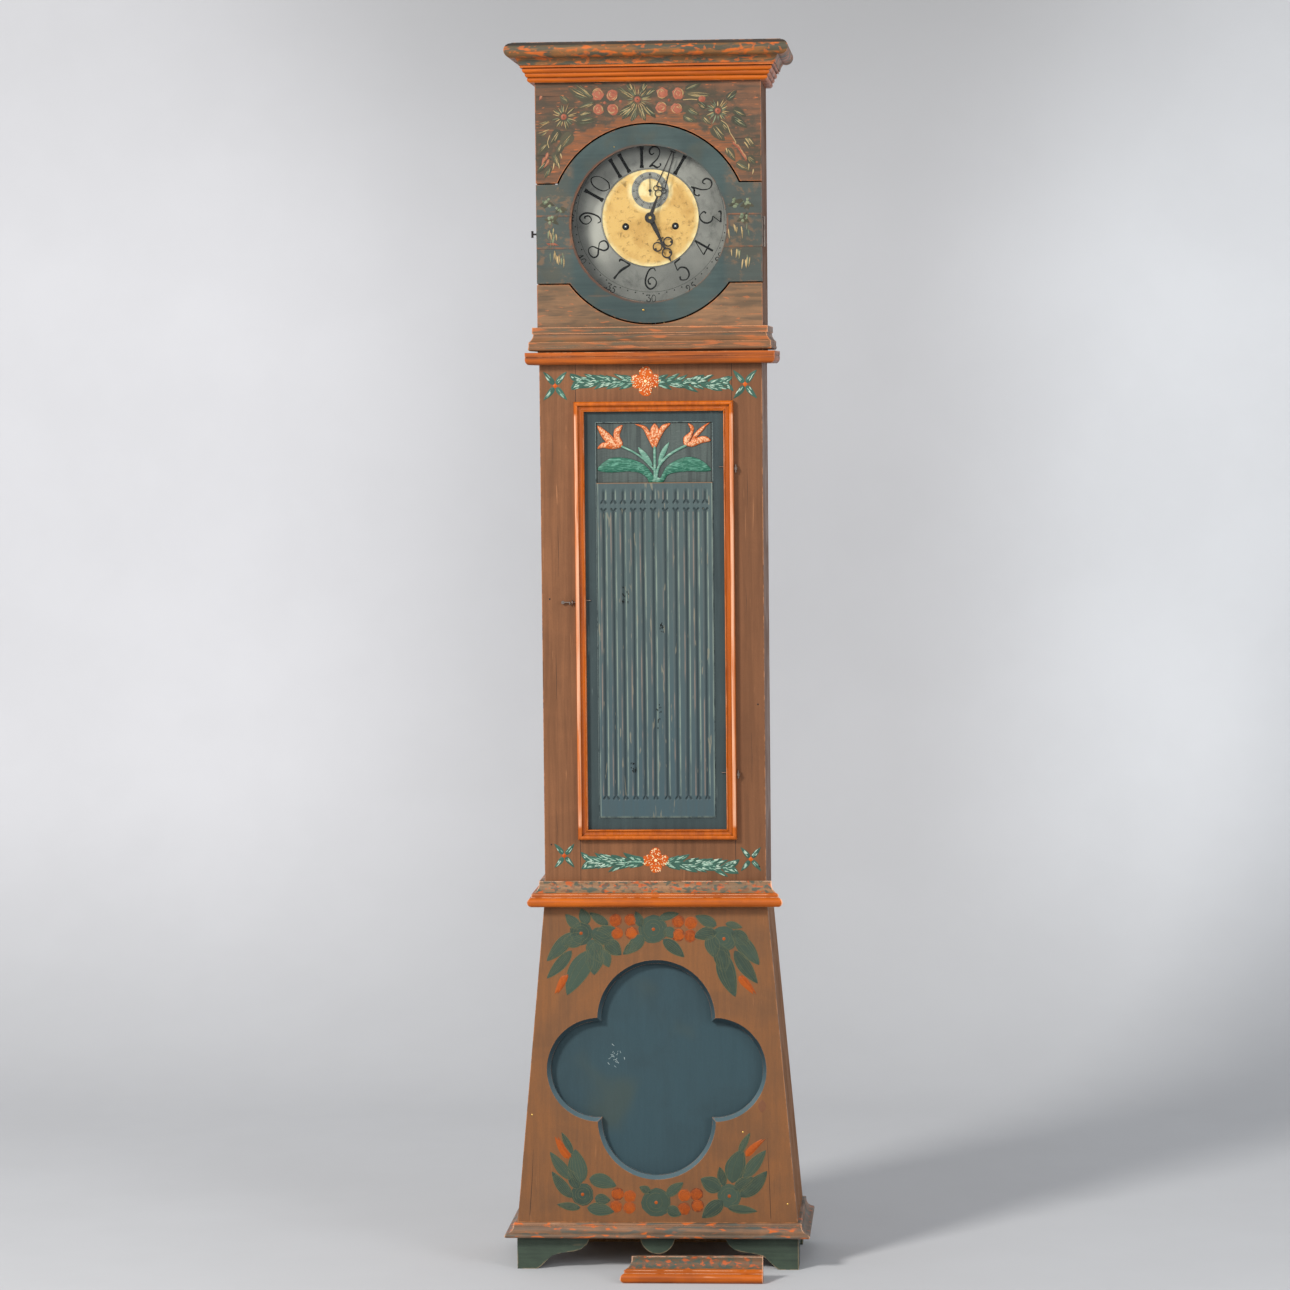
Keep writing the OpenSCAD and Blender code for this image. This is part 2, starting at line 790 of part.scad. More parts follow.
// Frame half of each snipe hinge: an upright wire with two prongs in the stile
module door_hinge_staples() {
    color(iron) for (up = [snipe_low, snipe_high]) translate([snipe_x, 0, open_z0 + up]) {
        translate([0, -snipe_y, -snipe_h / 2]) cylinder(h = snipe_h, r = snipe_r);
        for (s = [-1, 1]) translate([0, -snipe_y, s * (snipe_h / 2 - snipe_r)])
            rotate([-90, 0, 0]) cylinder(h = snipe_y - trunk_d, r = snipe_r);
    }
    color(iron) translate([-latch_x, -latch_y - 2, open_z0 + latch_up])
        rotate([-90, 0, 0]) cylinder(h = latch_y + 2 - trunk_d, r = 1.2);
}

// Door half: an eye round the wire, its shank in the moulding, its tail clinched
module door_hinge_eyes() {
    eye_r = 3.2;
    edge = open_x + door_lap;
    tail_x = edge - door_mould_w - 8.5;
    color(iron) {
        for (up = [snipe_low, snipe_high]) translate([0, 0, open_z0 + up]) {
            difference() {
                union() {
                    translate([snipe_x, -snipe_y, -2.2]) cylinder(h = 4.4, r = eye_r);
                    translate([edge, -snipe_y - 1.2, -1.2])
                        cube([snipe_x - edge - snipe_r - 0.4, 2.4, 2.4]);
                }
                translate([snipe_x, -snipe_y, -4]) cylinder(h = 8, r = snipe_r + fit);
                translate([edge - 5, -snipe_y - 5, -4]) cube([5, 10, 8]);
            }
            translate([tail_x, -trunk_d - 1.2, 3]) rotate([0, 90, 0]) cylinder(h = 8, r = 1.2);
        }
        translate([-edge, 0, open_z0 + latch_up]) {
            translate([0, -latch_y, 0]) rotate([0, -90, 0]) cylinder(h = 3.5, r = 1.2);
            translate([-6, -latch_y, 0]) rotate([0, 90, 0]) rotate_extrude()
                translate([3.2, 0]) circle(r = 1.1);
        }
        translate([-tail_x - 8, -trunk_d - 1.2, open_z0 + latch_up + 3])
            rotate([0, 90, 0]) cylinder(h = 8, r = 1.2);
    }
}

module latch_hook() {
    tip = 12.5;
    wire = 1.3;
    color(iron) translate([-latch_x, -latch_y, open_z0 + latch_up]) {
        difference() {
            rotate([90, 0, 0]) translate([0, 0, -1.3]) cylinder(h = 2.6, r = 3);
            rotate([90, 0, 0]) translate([0, 0, -3]) cylinder(h = 6, r = 1.2 + fit);
        }
        translate([2.4, 0, 0]) rotate([0, 90, 0]) cylinder(h = tip - 2.4, r = wire);
        translate([tip, 0, 0]) sphere(r = wire);
        translate([tip, 0, -4]) cylinder(h = 4, r = wire);
    }
}

// Hood
module hood_carcase() {
    color(brown) {
        both_sides() board(hood_in, hood_x, 0, hood_back, seat_z, roof_z - joint);
        board(-hood_x, hood_x, 0, hood_y, roof_z, top_z);
    }
}

// Boards above and below the door, cut to the door's arch
module hood_front_boards() {
    color(brown) difference() {
        union() {
            board(-hood_x, hood_x, hood_back, hood_y, ring_z + ear_up + ear_gap, roof_z);
            board(-hood_x, hood_x, hood_back, hood_y, seat_z, ring_z - ear_down - ear_gap);
        }
        turned([0, ring_z], ring_r + arch_gap, hood_back - 1, hood_y + 1);
    }
}

module round_the_hood(z0, h, p) {
    mould_front(hood_x, hood_y, z0, h, p) children();
    both_sides() mould_return(hood_x, hood_y, z0, h, p) children();
}

module cornice_crown() {
    color(speckled) round_the_hood(cornice_z + bed_h, crown_h, crown_p) crown_profile();
}

module cornice_bed() {
    color(orange) round_the_hood(cornice_z, bed_h, bed_p) bed_profile();
}

module hood_base_moulding() {
    color(speckled)
        round_the_hood(seat_z + hood_base_lift, hood_base_h, hood_base_p) hood_base_profile();
}

// Butt hinge: the fixed leaf has the outer knuckles and the pin
module hood_hinge_fixed_leaf() {
    z0 = ring_z + hood_hinge_up - hood_hinge_h / 2;
    third = hood_hinge_h / 3;
    color(iron) {
        board(hood_x, hood_x + leaf_t, hood_back - 18, hood_back - knuckle_r - 0.4,
            z0, z0 + hood_hinge_h);
        for (z = [z0, z0 + 2 * third + 0.2]) {
            translate([hood_pin_x, -hood_back, z]) cylinder(h = third - 0.2, r = knuckle_r);
            board(hood_x, hood_x + leaf_t, hood_back - knuckle_r - 1, hood_back,
                z, z + third - 0.2);
        }
        translate([hood_pin_x, -hood_back, z0]) cylinder(h = hood_hinge_h, r = pin_r);
    }
}

module hood_hinge_door_leaf() {
    z0 = ring_z + hood_hinge_up - hood_hinge_h / 2;
    third = hood_hinge_h / 3;
    color(iron) {
        board(hood_x, hood_x + leaf_t, hood_back + knuckle_r + 0.4, hood_back + 17, z0,
            z0 + hood_hinge_h);
        difference() {
            union() {
                translate([hood_pin_x, -hood_back, z0 + third + 0.1])
                    cylinder(h = third - 0.2, r = knuckle_r);
                board(hood_x, hood_x + leaf_t, hood_back, hood_back + knuckle_r + 1,
                    z0 + third + 0.1, z0 + 2 * third - 0.1);
            }
            translate([hood_pin_x, -hood_back, z0]) cylinder(h = hood_hinge_h, r = pin_r + fit);
        }
    }
}

// Hood door: a ring with an ear at each side, in boards jointed across the ears;
// the ring's edge is bevelled towards the back so that it swings clear of the arch
module hood_door_slab() {
    z0 = ring_z - ear_down;
    board(-hood_x, hood_x, hood_back, hood_y, z0, z0 + ear_down + ear_up);
    translate([0, -hood_back, ring_z]) rotate([90, 0, 0])
        cylinder(h = hood_front_t, r1 = ring_r - closing_bevel, r2 = ring_r);
}

module hood_door_boards() {
    cuts = [ring_z - joint_down, ring_z + joint_up];
    color(slate) difference() {
        hood_door_slab();
        turned([0, ring_z], opening_r, hood_back - 1, hood_y + 1);
        turned([0, ring_z], rebate_r, hood_back - 1, hood_back + rebate_d);
        for (z = cuts)
            board(-hood_x - 1, hood_x + 1, hood_back - 1, hood_y + 1, z, z + 2 * joint);
    }
}

module hood_glass() {
    color([0.8, 0.9, 0.9, 0.3])
        turned([0, ring_z], rebate_r - 1, hood_back + rebate_d - glass_t, hood_back + rebate_d);
}

// T-shaped turn of the hood door's catch
module hood_door_knob() {
    shank = 8;
    bar = 12;
    color(iron) translate([-hood_x, -(hood_back + hood_y) / 2, ring_z - 16]) {
        rotate([0, -90, 0]) cylinder(h = 1, r = 3.2);
        rotate([0, -90, 0]) cylinder(h = shank, r = 1.6);
        translate([-shank, 0, -bar / 2]) cylinder(h = bar, r = 2);
    }
}

// Dial and hands
module dial_holes(y0, y1) {
    for (s = [-1, 1]) turned([s * great_at[0], dial_z - wind_down], wind_r, y0, y1);
    turned([0, dial_z], 5.2, y0, y1);
    turned([0, dial_z + seconds_up], 2.2, y0, y1);
}

module dial_plate() {
    foot_at = 108;
    color(brass) {
        difference() {
            turned([0, dial_z], dial_r - 1, dial_y - dial_t, dial_y);
            dial_holes(dial_y - dial_t - 1, dial_y + 1);
        }
        for (a = [-40, -140]) turned(polar(foot_at, a) * 0.62 + [0, dial_z], 3.5,
            front_plate_y, dial_y - dial_t);
        for (a = [52, 128]) turned(polar(foot_at, a) + [0, dial_z], 3.5,
            front_plate_y, dial_y - dial_t);
    }
}

module chapter_rings() {
    color(pewter) {
        difference() {
            turned([0, dial_z], dial_r, dial_y, dial_y + ring_t);
            turned([0, dial_z], chapter_r, dial_y - 1, dial_y + ring_t + 1);
        }
        difference() {
            turned([0, dial_z + seconds_up], seconds_r, dial_y, dial_y + 1);
            turned([0, dial_z + seconds_up], seconds_in, dial_y - 1, dial_y + 2);
        }
    }
}

module ring_2d(at, r, w) {
    translate(at) difference() {
        circle(r = r);
        circle(r = r - w);
    }
}

// A hand at an arbor, drawn pointing up, turned clockwise by angle
module hand(at, depth, t, angle) {
    on_arbor(at, depth) linear_extrude(t) rotate(-angle) children();
}

// Three loops and a point
module hour_hand() {
    pipe_r = 4.5;
    color(iron) hand([0, 0], dial_y + 4.8, 1.2, hour_shown) difference() {
        union() {
            circle(r = 8);
            polygon([[-4.6, 5], [4.6, 5], [4, 22], [1.9, 46], [-1.9, 46], [-4, 22]]);
            translate([-6.5, 40.5]) square([13, 1.8]);
            for (s = [-1, 1]) {
                ring_2d([10.4 * s, 52], 8.8, 2.2);
                translate([15.4 * s, 54.6]) circle(r = 2.3, $fn = 12);
            }
            ring_2d([0, 69], 9.4, 2.3);
            translate([-5.6, 70.6]) circle(r = 2.3, $fn = 12);
            polygon([[-3.2, 76], [3.2, 76], [0, 88]]);
            translate([-2.2, 44]) square([4.4, 17]);
        }
        circle(r = pipe_r);
    }
}

// Loop and curls, then an open frame that narrows to a cross-bar
module minute_hand() {
    bar_at = 57;
    tip_at = 124;
    color(iron) hand([0, 0], dial_y + 9.8, 1.2, minute_shown) difference() {
        union() {
            circle(r = 9.5);
            polygon([[-3.4, 8], [3.4, 8], [1.6, 40], [-1.6, 40]]);
            ring_2d([0, 45.5], 7, 2);
            for (s = [-1, 1]) ring_2d([7.4 * s, 52.5], 5, 1.8);
            difference() {
                polygon([[-9, bar_at - 1.2], [9, bar_at - 1.2], [2.6, tip_at], [-2.6, tip_at]]);
                polygon([[-6.6, bar_at + 1.2], [6.6, bar_at + 1.2],
                    [1.2, tip_at - 2], [-1.2, tip_at - 2]]);
            }
            translate([-5, tip_at - 2]) square([10, 2.2]);
        }
        circle(r = 2.5);
    }
}

module hour_wheel() {
    bore = 2.5 + fit;
    wheel_at = motion_y + 4;
    to_minute = heading(centre_at, minute_at);
    color(brass) difference() {
        union() {
            on_arbor(centre_at, wheel_at) linear_extrude(2) wheel_2d(hour_teeth, hour_m, to_minute);
            arbor(centre_at, wheel_at, dial_y + 6, 4.5);
        }
        arbor(centre_at, wheel_at - 1, dial_y + 7, bore);
    }
}

module seconds_hand() {
    color(iron) hand(escape_at, dial_y + 3.3, 0.7, 0) {
        circle(r = 2.8);
        polygon([[-1, -9], [1, -9], [0.5, 30], [-0.5, 30]]);
    }
}

// Wheels: four corners a tooth, plain counts, backlash enough to run free
function tooth_ring(n, m, add, ded, tip, root) = [for (i = [0:n - 1], k = [0:3])
    polar(n * m / 2 + [-ded, add, add, -ded][k] * m, 360 / n * (i + [-root, -tip, tip, root][k]))];

module wheel_2d(n, m, turn) {
    rim = n * m / 2 - 4;
    hub = 7;
    spoke = 4;
    rotate(turn) difference() {
        polygon(tooth_ring(n, m, 0.9, 1.2, 0.08, 0.26));
        if (rim > hub + 5) difference() {
            circle(r = rim);
            circle(r = hub);
            for (a = [0, 90]) rotate(a) square([2 * rim + 2, spoke], center = true);
        }
    }
}

module pinion_2d(n, m, turn) {
    rotate(turn) polygon(tooth_ring(n, m, 0.45, 1.3, 0.08, 0.24));
}

// Angle that turns a gap of an n-tooth wheel towards a heading
function gap_to(a, n) = a + 180 / n;

module arbor(at, y0, y1, r) {
    on_arbor(at, y0) cylinder(h = y1 - y0, r = r);
}

module centre_arbor() {
    to_great = heading(centre_at, great_at);
    to_third = heading(centre_at, third_at);
    to_minute = heading(centre_at, minute_at);
    color(brass) {
        arbor(centre_at, back_plate_y - plate_t, dial_y + 12, arbor_r);
        on_arbor(centre_at, great_y - 1) linear_extrude(4)
            pinion_2d(centre_leaves, great_m, gap_to(to_great, centre_leaves));
        on_arbor(centre_at, centre_y) linear_extrude(1.8)
            wheel_2d(centre_teeth, centre_m, to_third);
        on_arbor(centre_at, motion_y) linear_extrude(2)
            wheel_2d(cannon_teeth, cannon_m, to_minute);
        on_arbor(centre_at, motion_y) cylinder(h = dial_y + 11 - motion_y, r = 2.5);
    }
}

module minute_wheel() {
    to_centre = heading(minute_at, centre_at);
    color(brass) {
        arbor(minute_at, front_plate_y - plate_t, motion_y + 2, arbor_r);
        arbor(minute_at, motion_y + 1, motion_y + 7, 1);
        on_arbor(minute_at, motion_y) linear_extrude(2)
            wheel_2d(cannon_teeth, cannon_m, gap_to(to_centre, cannon_teeth));
        on_arbor(minute_at, motion_y + 2) linear_extrude(4.5)
            pinion_2d(hour_leaves, hour_m, gap_to(to_centre, hour_leaves));
    }
}

module third_wheel() {
    to_centre = heading(third_at, centre_at);
    to_escape = heading(third_at, escape_at);
    color(brass) {
        arbor(third_at, back_plate_y - plate_t, front_plate_y, arbor_r);
        on_arbor(third_at, centre_y - 1.5) linear_extrude(4.5)
            pinion_2d(third_leaves, centre_m, gap_to(to_centre, third_leaves));
        on_arbor(third_at, third_y) linear_extrude(1.8)
            wheel_2d(third_teeth, third_m, to_escape);
    }
}

module escape_wheel() {
    to_third = heading(escape_at, third_at);
    color(brass) {
        arbor(escape_at, back_plate_y - plate_t, dial_y + 3.3, arbor_r);
        on_arbor(escape_at, third_y - 1.5) linear_extrude(4.8)
            pinion_2d(escape_leaves, third_m, gap_to(to_third, escape_leaves));
        on_arbor(escape_at, escape_y) linear_extrude(1.6) difference() {
            polygon([for (i = [0:escape_teeth - 1], k = [0:2])
                polar([escape_r - 5, escape_r, escape_r - 5][k],
                    360 / escape_teeth * (i + 0.5 + [-0.34, 0.16, 0.2][k]))]);
            for (i = [0:3]) rotate(90 * i + 45) translate([8.5, 0]) circle(r = 3.8);
        }
    }
}

// Recoil anchor whose nibs clear the tooth tips, and the crutch that meets the rod
module anchor_and_crutch() {
    nib = 1.1;
    nib_r = escape_r + nib;
    drop = pallet_at[1] - escape_at[1];
    crutch_l = 150;
    color(steel) {
        arbor(pallet_at, back_plate_y - plate_t - 8, front_plate_y, arbor_r);
        on_arbor(pallet_at, escape_y - 1) linear_extrude(3.6) {
            circle(r = 4.5);
            for (s = [-1, 1]) scale([s, 1]) polygon([[0, 4.5], [4, 3.8], [20, -6], [21, -10],
                [nib_r * 0.707 + 2.6, -drop + nib_r * 0.707 - 1.5],
                [nib_r * 0.707, -drop + nib_r * 0.707], [16.5, -8.5], [3, -3]]);
        }
        on_arbor(pallet_at, back_plate_y - plate_t - 7.5) linear_extrude(2) {
            circle(r = 3.4);
            translate([-1.2, -crutch_l]) square([2.4, crutch_l]);
            translate([-6, -crutch_l - 6]) square([12, 7]);
        }
        for (s = [-1, 1]) on_arbor(pallet_at + [5 * s, -crutch_l - 3], pendulum_y - 4)
            cylinder(h = back_plate_y - plate_t - 7 - pendulum_y + 4, r = 1.2);
    }
}

// Great wheel, loose on its barrel arbor
module great_wheel(at, n, turn) {
    color(brass) on_arbor(at, great_y) linear_extrude(2.2) difference() {
        wheel_2d(n, great_m, turn);
        circle(r = arbor_r + 1 + fit);
    }
}

module going_great_wheel() {
    great_wheel(great_at, great_teeth, heading(great_at, centre_at));
}

// Drum with flanges, ratchet, arbor and winding square
module barrel(at) {
    wide = drum_y1 - drum_y0;
    square_w = 6;
    color(brass) {
        on_arbor(at, drum_y0) cylinder(h = wide, r = drum_r);
        on_arbor(at, drum_y0) cylinder(h = 1.5, r = drum_r + 3);
        on_arbor(at, drum_y1 - 1.5) cylinder(h = 1.5, r = drum_r + 3);
        arbor(at, back_plate_y - plate_t, front_plate_y + 2, arbor_r + 1);
        on_arbor(at, front_plate_y + 1) translate([-square_w / 2, -square_w / 2])
            cube([square_w, square_w, dial_y + 3 - front_plate_y]);
    }
}

module going_barrel() {
    barrel(great_at);
}

// Plates, pillars and bearing holes
module plate_holes(y0, y1) {
    for (at = [centre_at, third_at, escape_at, pallet_at, pin_at, gather_at, fly_at, hammer_at])
        on_arbor(at, y0) cylinder(h = y1 - y0, r = arbor_r + fit);
    for (at = [great_at, strike_at])
        on_arbor(at, y0) cylinder(h = y1 - y0, r = arbor_r + 1 + fit);
    on_arbor(minute_at, y0) cylinder(h = y1 - y0, r = arbor_r + fit);
}

// Plates, pillars and the cock that carries the pendulum's suspension
module movement_plates() {
    pillar_r = 5;
    cock_z = dial_z + pallet_at[1] + 6;
    cock_y = back_plate_y - plate_t;
    slit = 2.6;
    color(brass) {
        difference() {
            for (y = [back_plate_y, front_plate_y])
                board(-plate_x, plate_x, y - plate_t, y, seat_board_z, dial_z + plate_high);
            plate_holes(back_plate_y - plate_t - 1, front_plate_y + 1);
        }
        for (x = [-plate_x + 9, plate_x - 9], z = [-plate_low + 9, plate_high - 9])
            on_arbor([x, z], back_plate_y) cylinder(h = plate_gap, r = pillar_r);
        difference() {
            union() {
                board(-14, 14, cock_y - 3, cock_y, cock_z, cock_z + 16);
                board(-7, 7, pendulum_y - 7, cock_y - 3, cock_z, cock_z + 10);
            }
            board(-slit / 2, slit / 2, pendulum_y - 8, pendulum_y + 5, cock_z - 1, cock_z + 11);
        }
    }
}

module pendulum_rod() {
    rod_r = 2.6;
    top = dial_z + pallet_at[1];
    bob_z = top - pendulum_l;
    color(steel) {
        board(-4, 4, pendulum_y - 5, pendulum_y + 3.5, top + 16.4, top + 23);
        board(-0.25, 0.25, pendulum_y - 3.5, pendulum_y + 3.5, top - 40, top + 16.6);
        board(-3, 3, pendulum_y - 4.5, pendulum_y + 4.5, top - 52, top - 38);
        translate([0, -pendulum_y, bob_z - bob_r - 30])
            cylinder(h = top - 51 - bob_z + bob_r + 30, r = rod_r);
        translate([0, -pendulum_y, bob_z - bob_r - 14]) cylinder(h = 8, r = 8, $fn = 24);
    }
}

module pendulum_bob() {
    rod_hole = 2.7;
    lens_t = 26;
    lens_r = (bob_r * bob_r + lens_t * lens_t / 4) / lens_t;
    bob_z = dial_z + pallet_at[1] - pendulum_l;
    color(brass) difference() {
        translate([0, -pendulum_y, bob_z]) rotate([90, 0, 0]) rotate_extrude() intersection() {
            translate([0, lens_r - lens_t / 2]) circle(r = lens_r, $fn = 180);
            translate([0, lens_t / 2 - lens_r]) circle(r = lens_r, $fn = 180);
            translate([0, -lens_t]) square([bob_r - 0.5, 2 * lens_t]);
        }
        translate([0, -pendulum_y, bob_z - bob_r - 5]) cylinder(h = 2 * bob_r + 10, r = rod_hole);
    }
}

// Line down from the drum at x, under the pulley and up to the seat board
module line_run(x, side) {
    top = seat_board_z - shelf_t;
    tied_x = x + 2 * side * pulley_r;
    color([0.55, 0.5, 0.42]) {
        translate([x, -weight_y, pulley_z])
            cylinder(h = dial_z + great_at[1] - pulley_z, r = line_r);
        translate([tied_x, -weight_y, pulley_z]) cylinder(h = top - pulley_z, r = line_r);
        translate([x + side * pulley_r, -weight_y, pulley_z]) rotate([-90, 0, 0])
            rotate_extrude(angle = 180) translate([pulley_r, 0]) circle(r = line_r, $fn = 16);
    }
}

module going_line() {
    line_run(going_x, 1);
}

module strike_line() {
    line_run(strike_x, -1);
}

// Cylinder weight with a crowned top and a stirrup round the pulley
module hung_weight(x) {
    cheek = 6;
    strap = pulley_r + 7;
    color([0.34, 0.33, 0.31]) translate([x, -weight_y, 0]) {
        translate([0, 0, weight_low]) cylinder(h = weight_h, r = weight_r);
        translate([0, 0, weight_top]) cylinder(h = 9, r1 = weight_r - 3, r2 = 9);
        translate([0, 0, weight_top + 8]) cylinder(h = 10, r = 3);
        translate([-5, -cheek - 1.6, weight_top + 17]) cube([10, 2 * cheek + 3.2, 3]);
        for (s = [-1, 1]) translate([-5, s * (cheek + 0.8) - 0.8, weight_top + 17])
            cube([10, 1.6, strap + 15]);
        translate([0, cheek + 2.4, pulley_z]) rotate([90, 0, 0])
            cylinder(h = 2 * cheek + 4.8, r = 2);
    }
}

// Grooved pulley
module line_pulley(x) {
    groove = line_r + 0.3;
    rim = pulley_r + 2.4;
    color(brass) translate([x, -weight_y, pulley_z]) rotate([90, 0, 0]) difference() {
        translate([0, 0, -4.5]) cylinder(h = 9, r = rim);
        rotate_extrude() translate([pulley_r, 0]) circle(r = groove, $fn = 24);
        rotate_extrude() translate([pulley_r, -groove]) square([4, 2 * groove]);
        translate([0, 0, -6]) cylinder(h = 12, r = 2 + fit);
        for (a = [0:60:300]) rotate(a) translate([11, 0, -6]) cylinder(h = 12, r = 3.6);
    }
}

module going_weight() {
    hung_weight(going_x + pulley_r);
}

module strike_weight() {
    hung_weight(strike_x - pulley_r);
}

module going_pulley() {
    line_pulley(going_x + pulley_r);
}

module strike_pulley() {
    line_pulley(strike_x - pulley_r);
}

// Striking train
module strike_barrel() {
    barrel(strike_at);
}

module strike_great_wheel() {
    great_wheel(strike_at, strike_teeth, heading(strike_at, pin_at));
}

module pin_wheel() {
    pin_circle = 18;
    pins = 8;
    color(brass) {
        arbor(pin_at, back_plate_y - plate_t, front_plate_y, arbor_r);
        on_arbor(pin_at, great_y - 1) linear_extrude(4)
            pinion_2d(pin_leaves, great_m, gap_to(heading(pin_at, strike_at), pin_leaves));
        on_arbor(pin_at, pin_y) linear_extrude(1.8)
            wheel_2d(pin_teeth, third_m, heading(pin_at, gather_at));
        for (i = [0:pins - 1])
            on_arbor(pin_at + polar(pin_circle, 360 / pins * (i + 0.5)), pin_y - 5.5)
                cylinder(h = 6, r = 0.9);
    }
}

module gathering_wheel() {
    to_pin = heading(gather_at, pin_at);
    color(brass) {
        arbor(gather_at, back_plate_y - plate_t, front_plate_y + 4, arbor_r);
        on_arbor(gather_at, pin_y - 1.5) linear_extrude(4.5)
            pinion_2d(gather_leaves, third_m, gap_to(to_pin, gather_leaves));
        on_arbor(gather_at, gather_y) linear_extrude(1.8)
            wheel_2d(gather_teeth, gather_m, heading(gather_at, fly_at));
    }
}

module fly() {
    vane = 13.5;
    color(brass) {
        arbor(fly_at, back_plate_y - plate_t, front_plate_y, arbor_r);
        on_arbor(fly_at, gather_y - 1.5) linear_extrude(4.5)
            pinion_2d(fly_leaves, gather_m, gap_to(heading(fly_at, gather_at), fly_leaves));
        on_arbor(fly_at, gather_y + 4.5) translate([-vane, -0.5, 0]) cube([2 * vane, 1, 18]);
        on_arbor(fly_at, gather_y + 4.5) cylinder(h = 18, r = 2.5);
    }
}

// Hammer: arbor, tail near the wheel's pins, springy rod and head beside the bell
module hammer() {
    head_at = [-bell_r - 8.5, bell_up + 5];
    rod_l = norm(head_at - hammer_at);
    lean = heading(hammer_at, head_at) - 90;
    tail_l = 16;
    color(steel) {
        arbor(hammer_at, back_plate_y - plate_t, front_plate_y, arbor_r);
        on_arbor(hammer_at, bell_y - 2) rotate(lean) {
            cylinder(h = 4, r = 4);
            translate([-1.2, 0, 0.8]) cube([2.4, rod_l, 2.4]);
        }
        on_arbor(hammer_at, pin_y - 5) rotate(heading(hammer_at, pin_at)) {
            cylinder(h = 3, r = 3.5);
            translate([0, -1.2, 0]) cube([tail_l, 2.4, 3]);
        }
        translate([head_at[0] - 8, -bell_y, dial_z + head_at[1]]) rotate([0, 90, 0])
            cylinder(h = 14, r = 5.5);
    }
}

// Bell on a stand screwed to the back plate
module bell() {
    stand_x = 30;
    arm_z = dial_z + bell_up + bell_h + 1;
    stand_y = back_plate_y - plate_t - 2;
    reach_l = norm([stand_x, bell_y - stand_y]);
    turn = atan2(bell_y - stand_y, stand_x);
    steps = 9;
    wall = 3;
    // Outer and inner skins as quarter ellipses from the mouth to the crown
    outer = [for (i = [0:steps]) let (a = 84 * i / steps) [bell_r * cos(a), bell_h * sin(a)]];
    inner = [for (i = [steps:-1:0]) let (a = 84 * i / steps)
        [(bell_r - wall) * cos(a), (bell_h - wall) * sin(a)]];
    color(brass) translate([0, -bell_y, dial_z + bell_up]) rotate_extrude() polygon(
        concat(outer, [[3 + fit, bell_h]], [[3 + fit, bell_h - wall]], inner));
    color(iron) {
        board(stand_x - 6, stand_x + 6, stand_y - 1, stand_y + 2, dial_z + stand_foot, arm_z + 3);
        translate([stand_x, -stand_y, arm_z]) rotate([0, 0, 180 + turn])
            translate([0, -4, 0]) cube([reach_l + 5, 8, 3]);
        translate([0, -bell_y, arm_z - 7]) cylinder(h = 13, r = 3);
        translate([0, -bell_y, arm_z - 8]) cylinder(h = 3, r = 5);
    }
}

back_boards();
base_front_board();
quatrefoil_panel();
base_sides();
base_shelves();
bracket_feet();
base_moulding();
waist_moulding();
trunk_sides();
trunk_front_frame();
trunk_top_moulding();
seat_board();
glue_blocks();
on_door() door_hinge_staples();
on_door() door_board();
on_door() tulip_carving();
on_door() fluted_panel();
on_door() door_moulding();
on_door() door_hinge_eyes();
on_door() latch_hook();
hood_carcase();
hood_front_boards();
cornice_crown();
cornice_bed();
hood_base_moulding();
hood_hinge_fixed_leaf();
hood_door_boards();
hood_glass();
hood_hinge_door_leaf();
hood_door_knob();
dial_plate();
chapter_rings();
movement_plates();
bell();
hour_hand();
hour_wheel();
minute_hand();
centre_arbor();
seconds_hand();
minute_wheel();
third_wheel();
escape_wheel();
going_great_wheel();
going_barrel();
anchor_and_crutch();
pendulum_rod();
pendulum_bob();
going_line();
going_weight();
going_pulley();
strike_great_wheel();
strike_barrel();
strike_line();
strike_weight();
strike_pulley();
pin_wheel();
gathering_wheel();
fly();
hammer();
loose_moulding();
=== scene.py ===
import math
import random

import bpy
import numpy as np
from mathutils import Matrix, Vector


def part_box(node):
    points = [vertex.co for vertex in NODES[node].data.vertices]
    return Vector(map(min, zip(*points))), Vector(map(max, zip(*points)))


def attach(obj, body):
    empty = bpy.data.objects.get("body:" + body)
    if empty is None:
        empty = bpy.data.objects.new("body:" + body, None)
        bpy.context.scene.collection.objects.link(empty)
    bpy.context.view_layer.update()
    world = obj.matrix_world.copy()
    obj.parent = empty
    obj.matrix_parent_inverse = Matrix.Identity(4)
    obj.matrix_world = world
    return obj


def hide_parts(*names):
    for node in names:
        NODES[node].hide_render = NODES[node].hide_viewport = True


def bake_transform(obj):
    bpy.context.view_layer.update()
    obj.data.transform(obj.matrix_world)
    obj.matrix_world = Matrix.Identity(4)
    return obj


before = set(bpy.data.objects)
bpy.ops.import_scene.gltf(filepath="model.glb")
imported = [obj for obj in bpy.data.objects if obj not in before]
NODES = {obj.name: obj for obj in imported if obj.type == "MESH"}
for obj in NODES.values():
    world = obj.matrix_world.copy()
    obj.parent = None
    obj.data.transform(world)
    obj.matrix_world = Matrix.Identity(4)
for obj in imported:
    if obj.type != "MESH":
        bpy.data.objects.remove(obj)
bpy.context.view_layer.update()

MM = 0.001
TURN = 2 * math.pi
rng = random.Random(11)

# Millimetres: heights above the floor, then what lies round the dial's middle
DIAL_Z, RING_Z, WAIST_Z = 1876, 1864, 650
SECONDS_UP, WINDING_DOWN, WINDING_X = 48.4, 15, 44.33
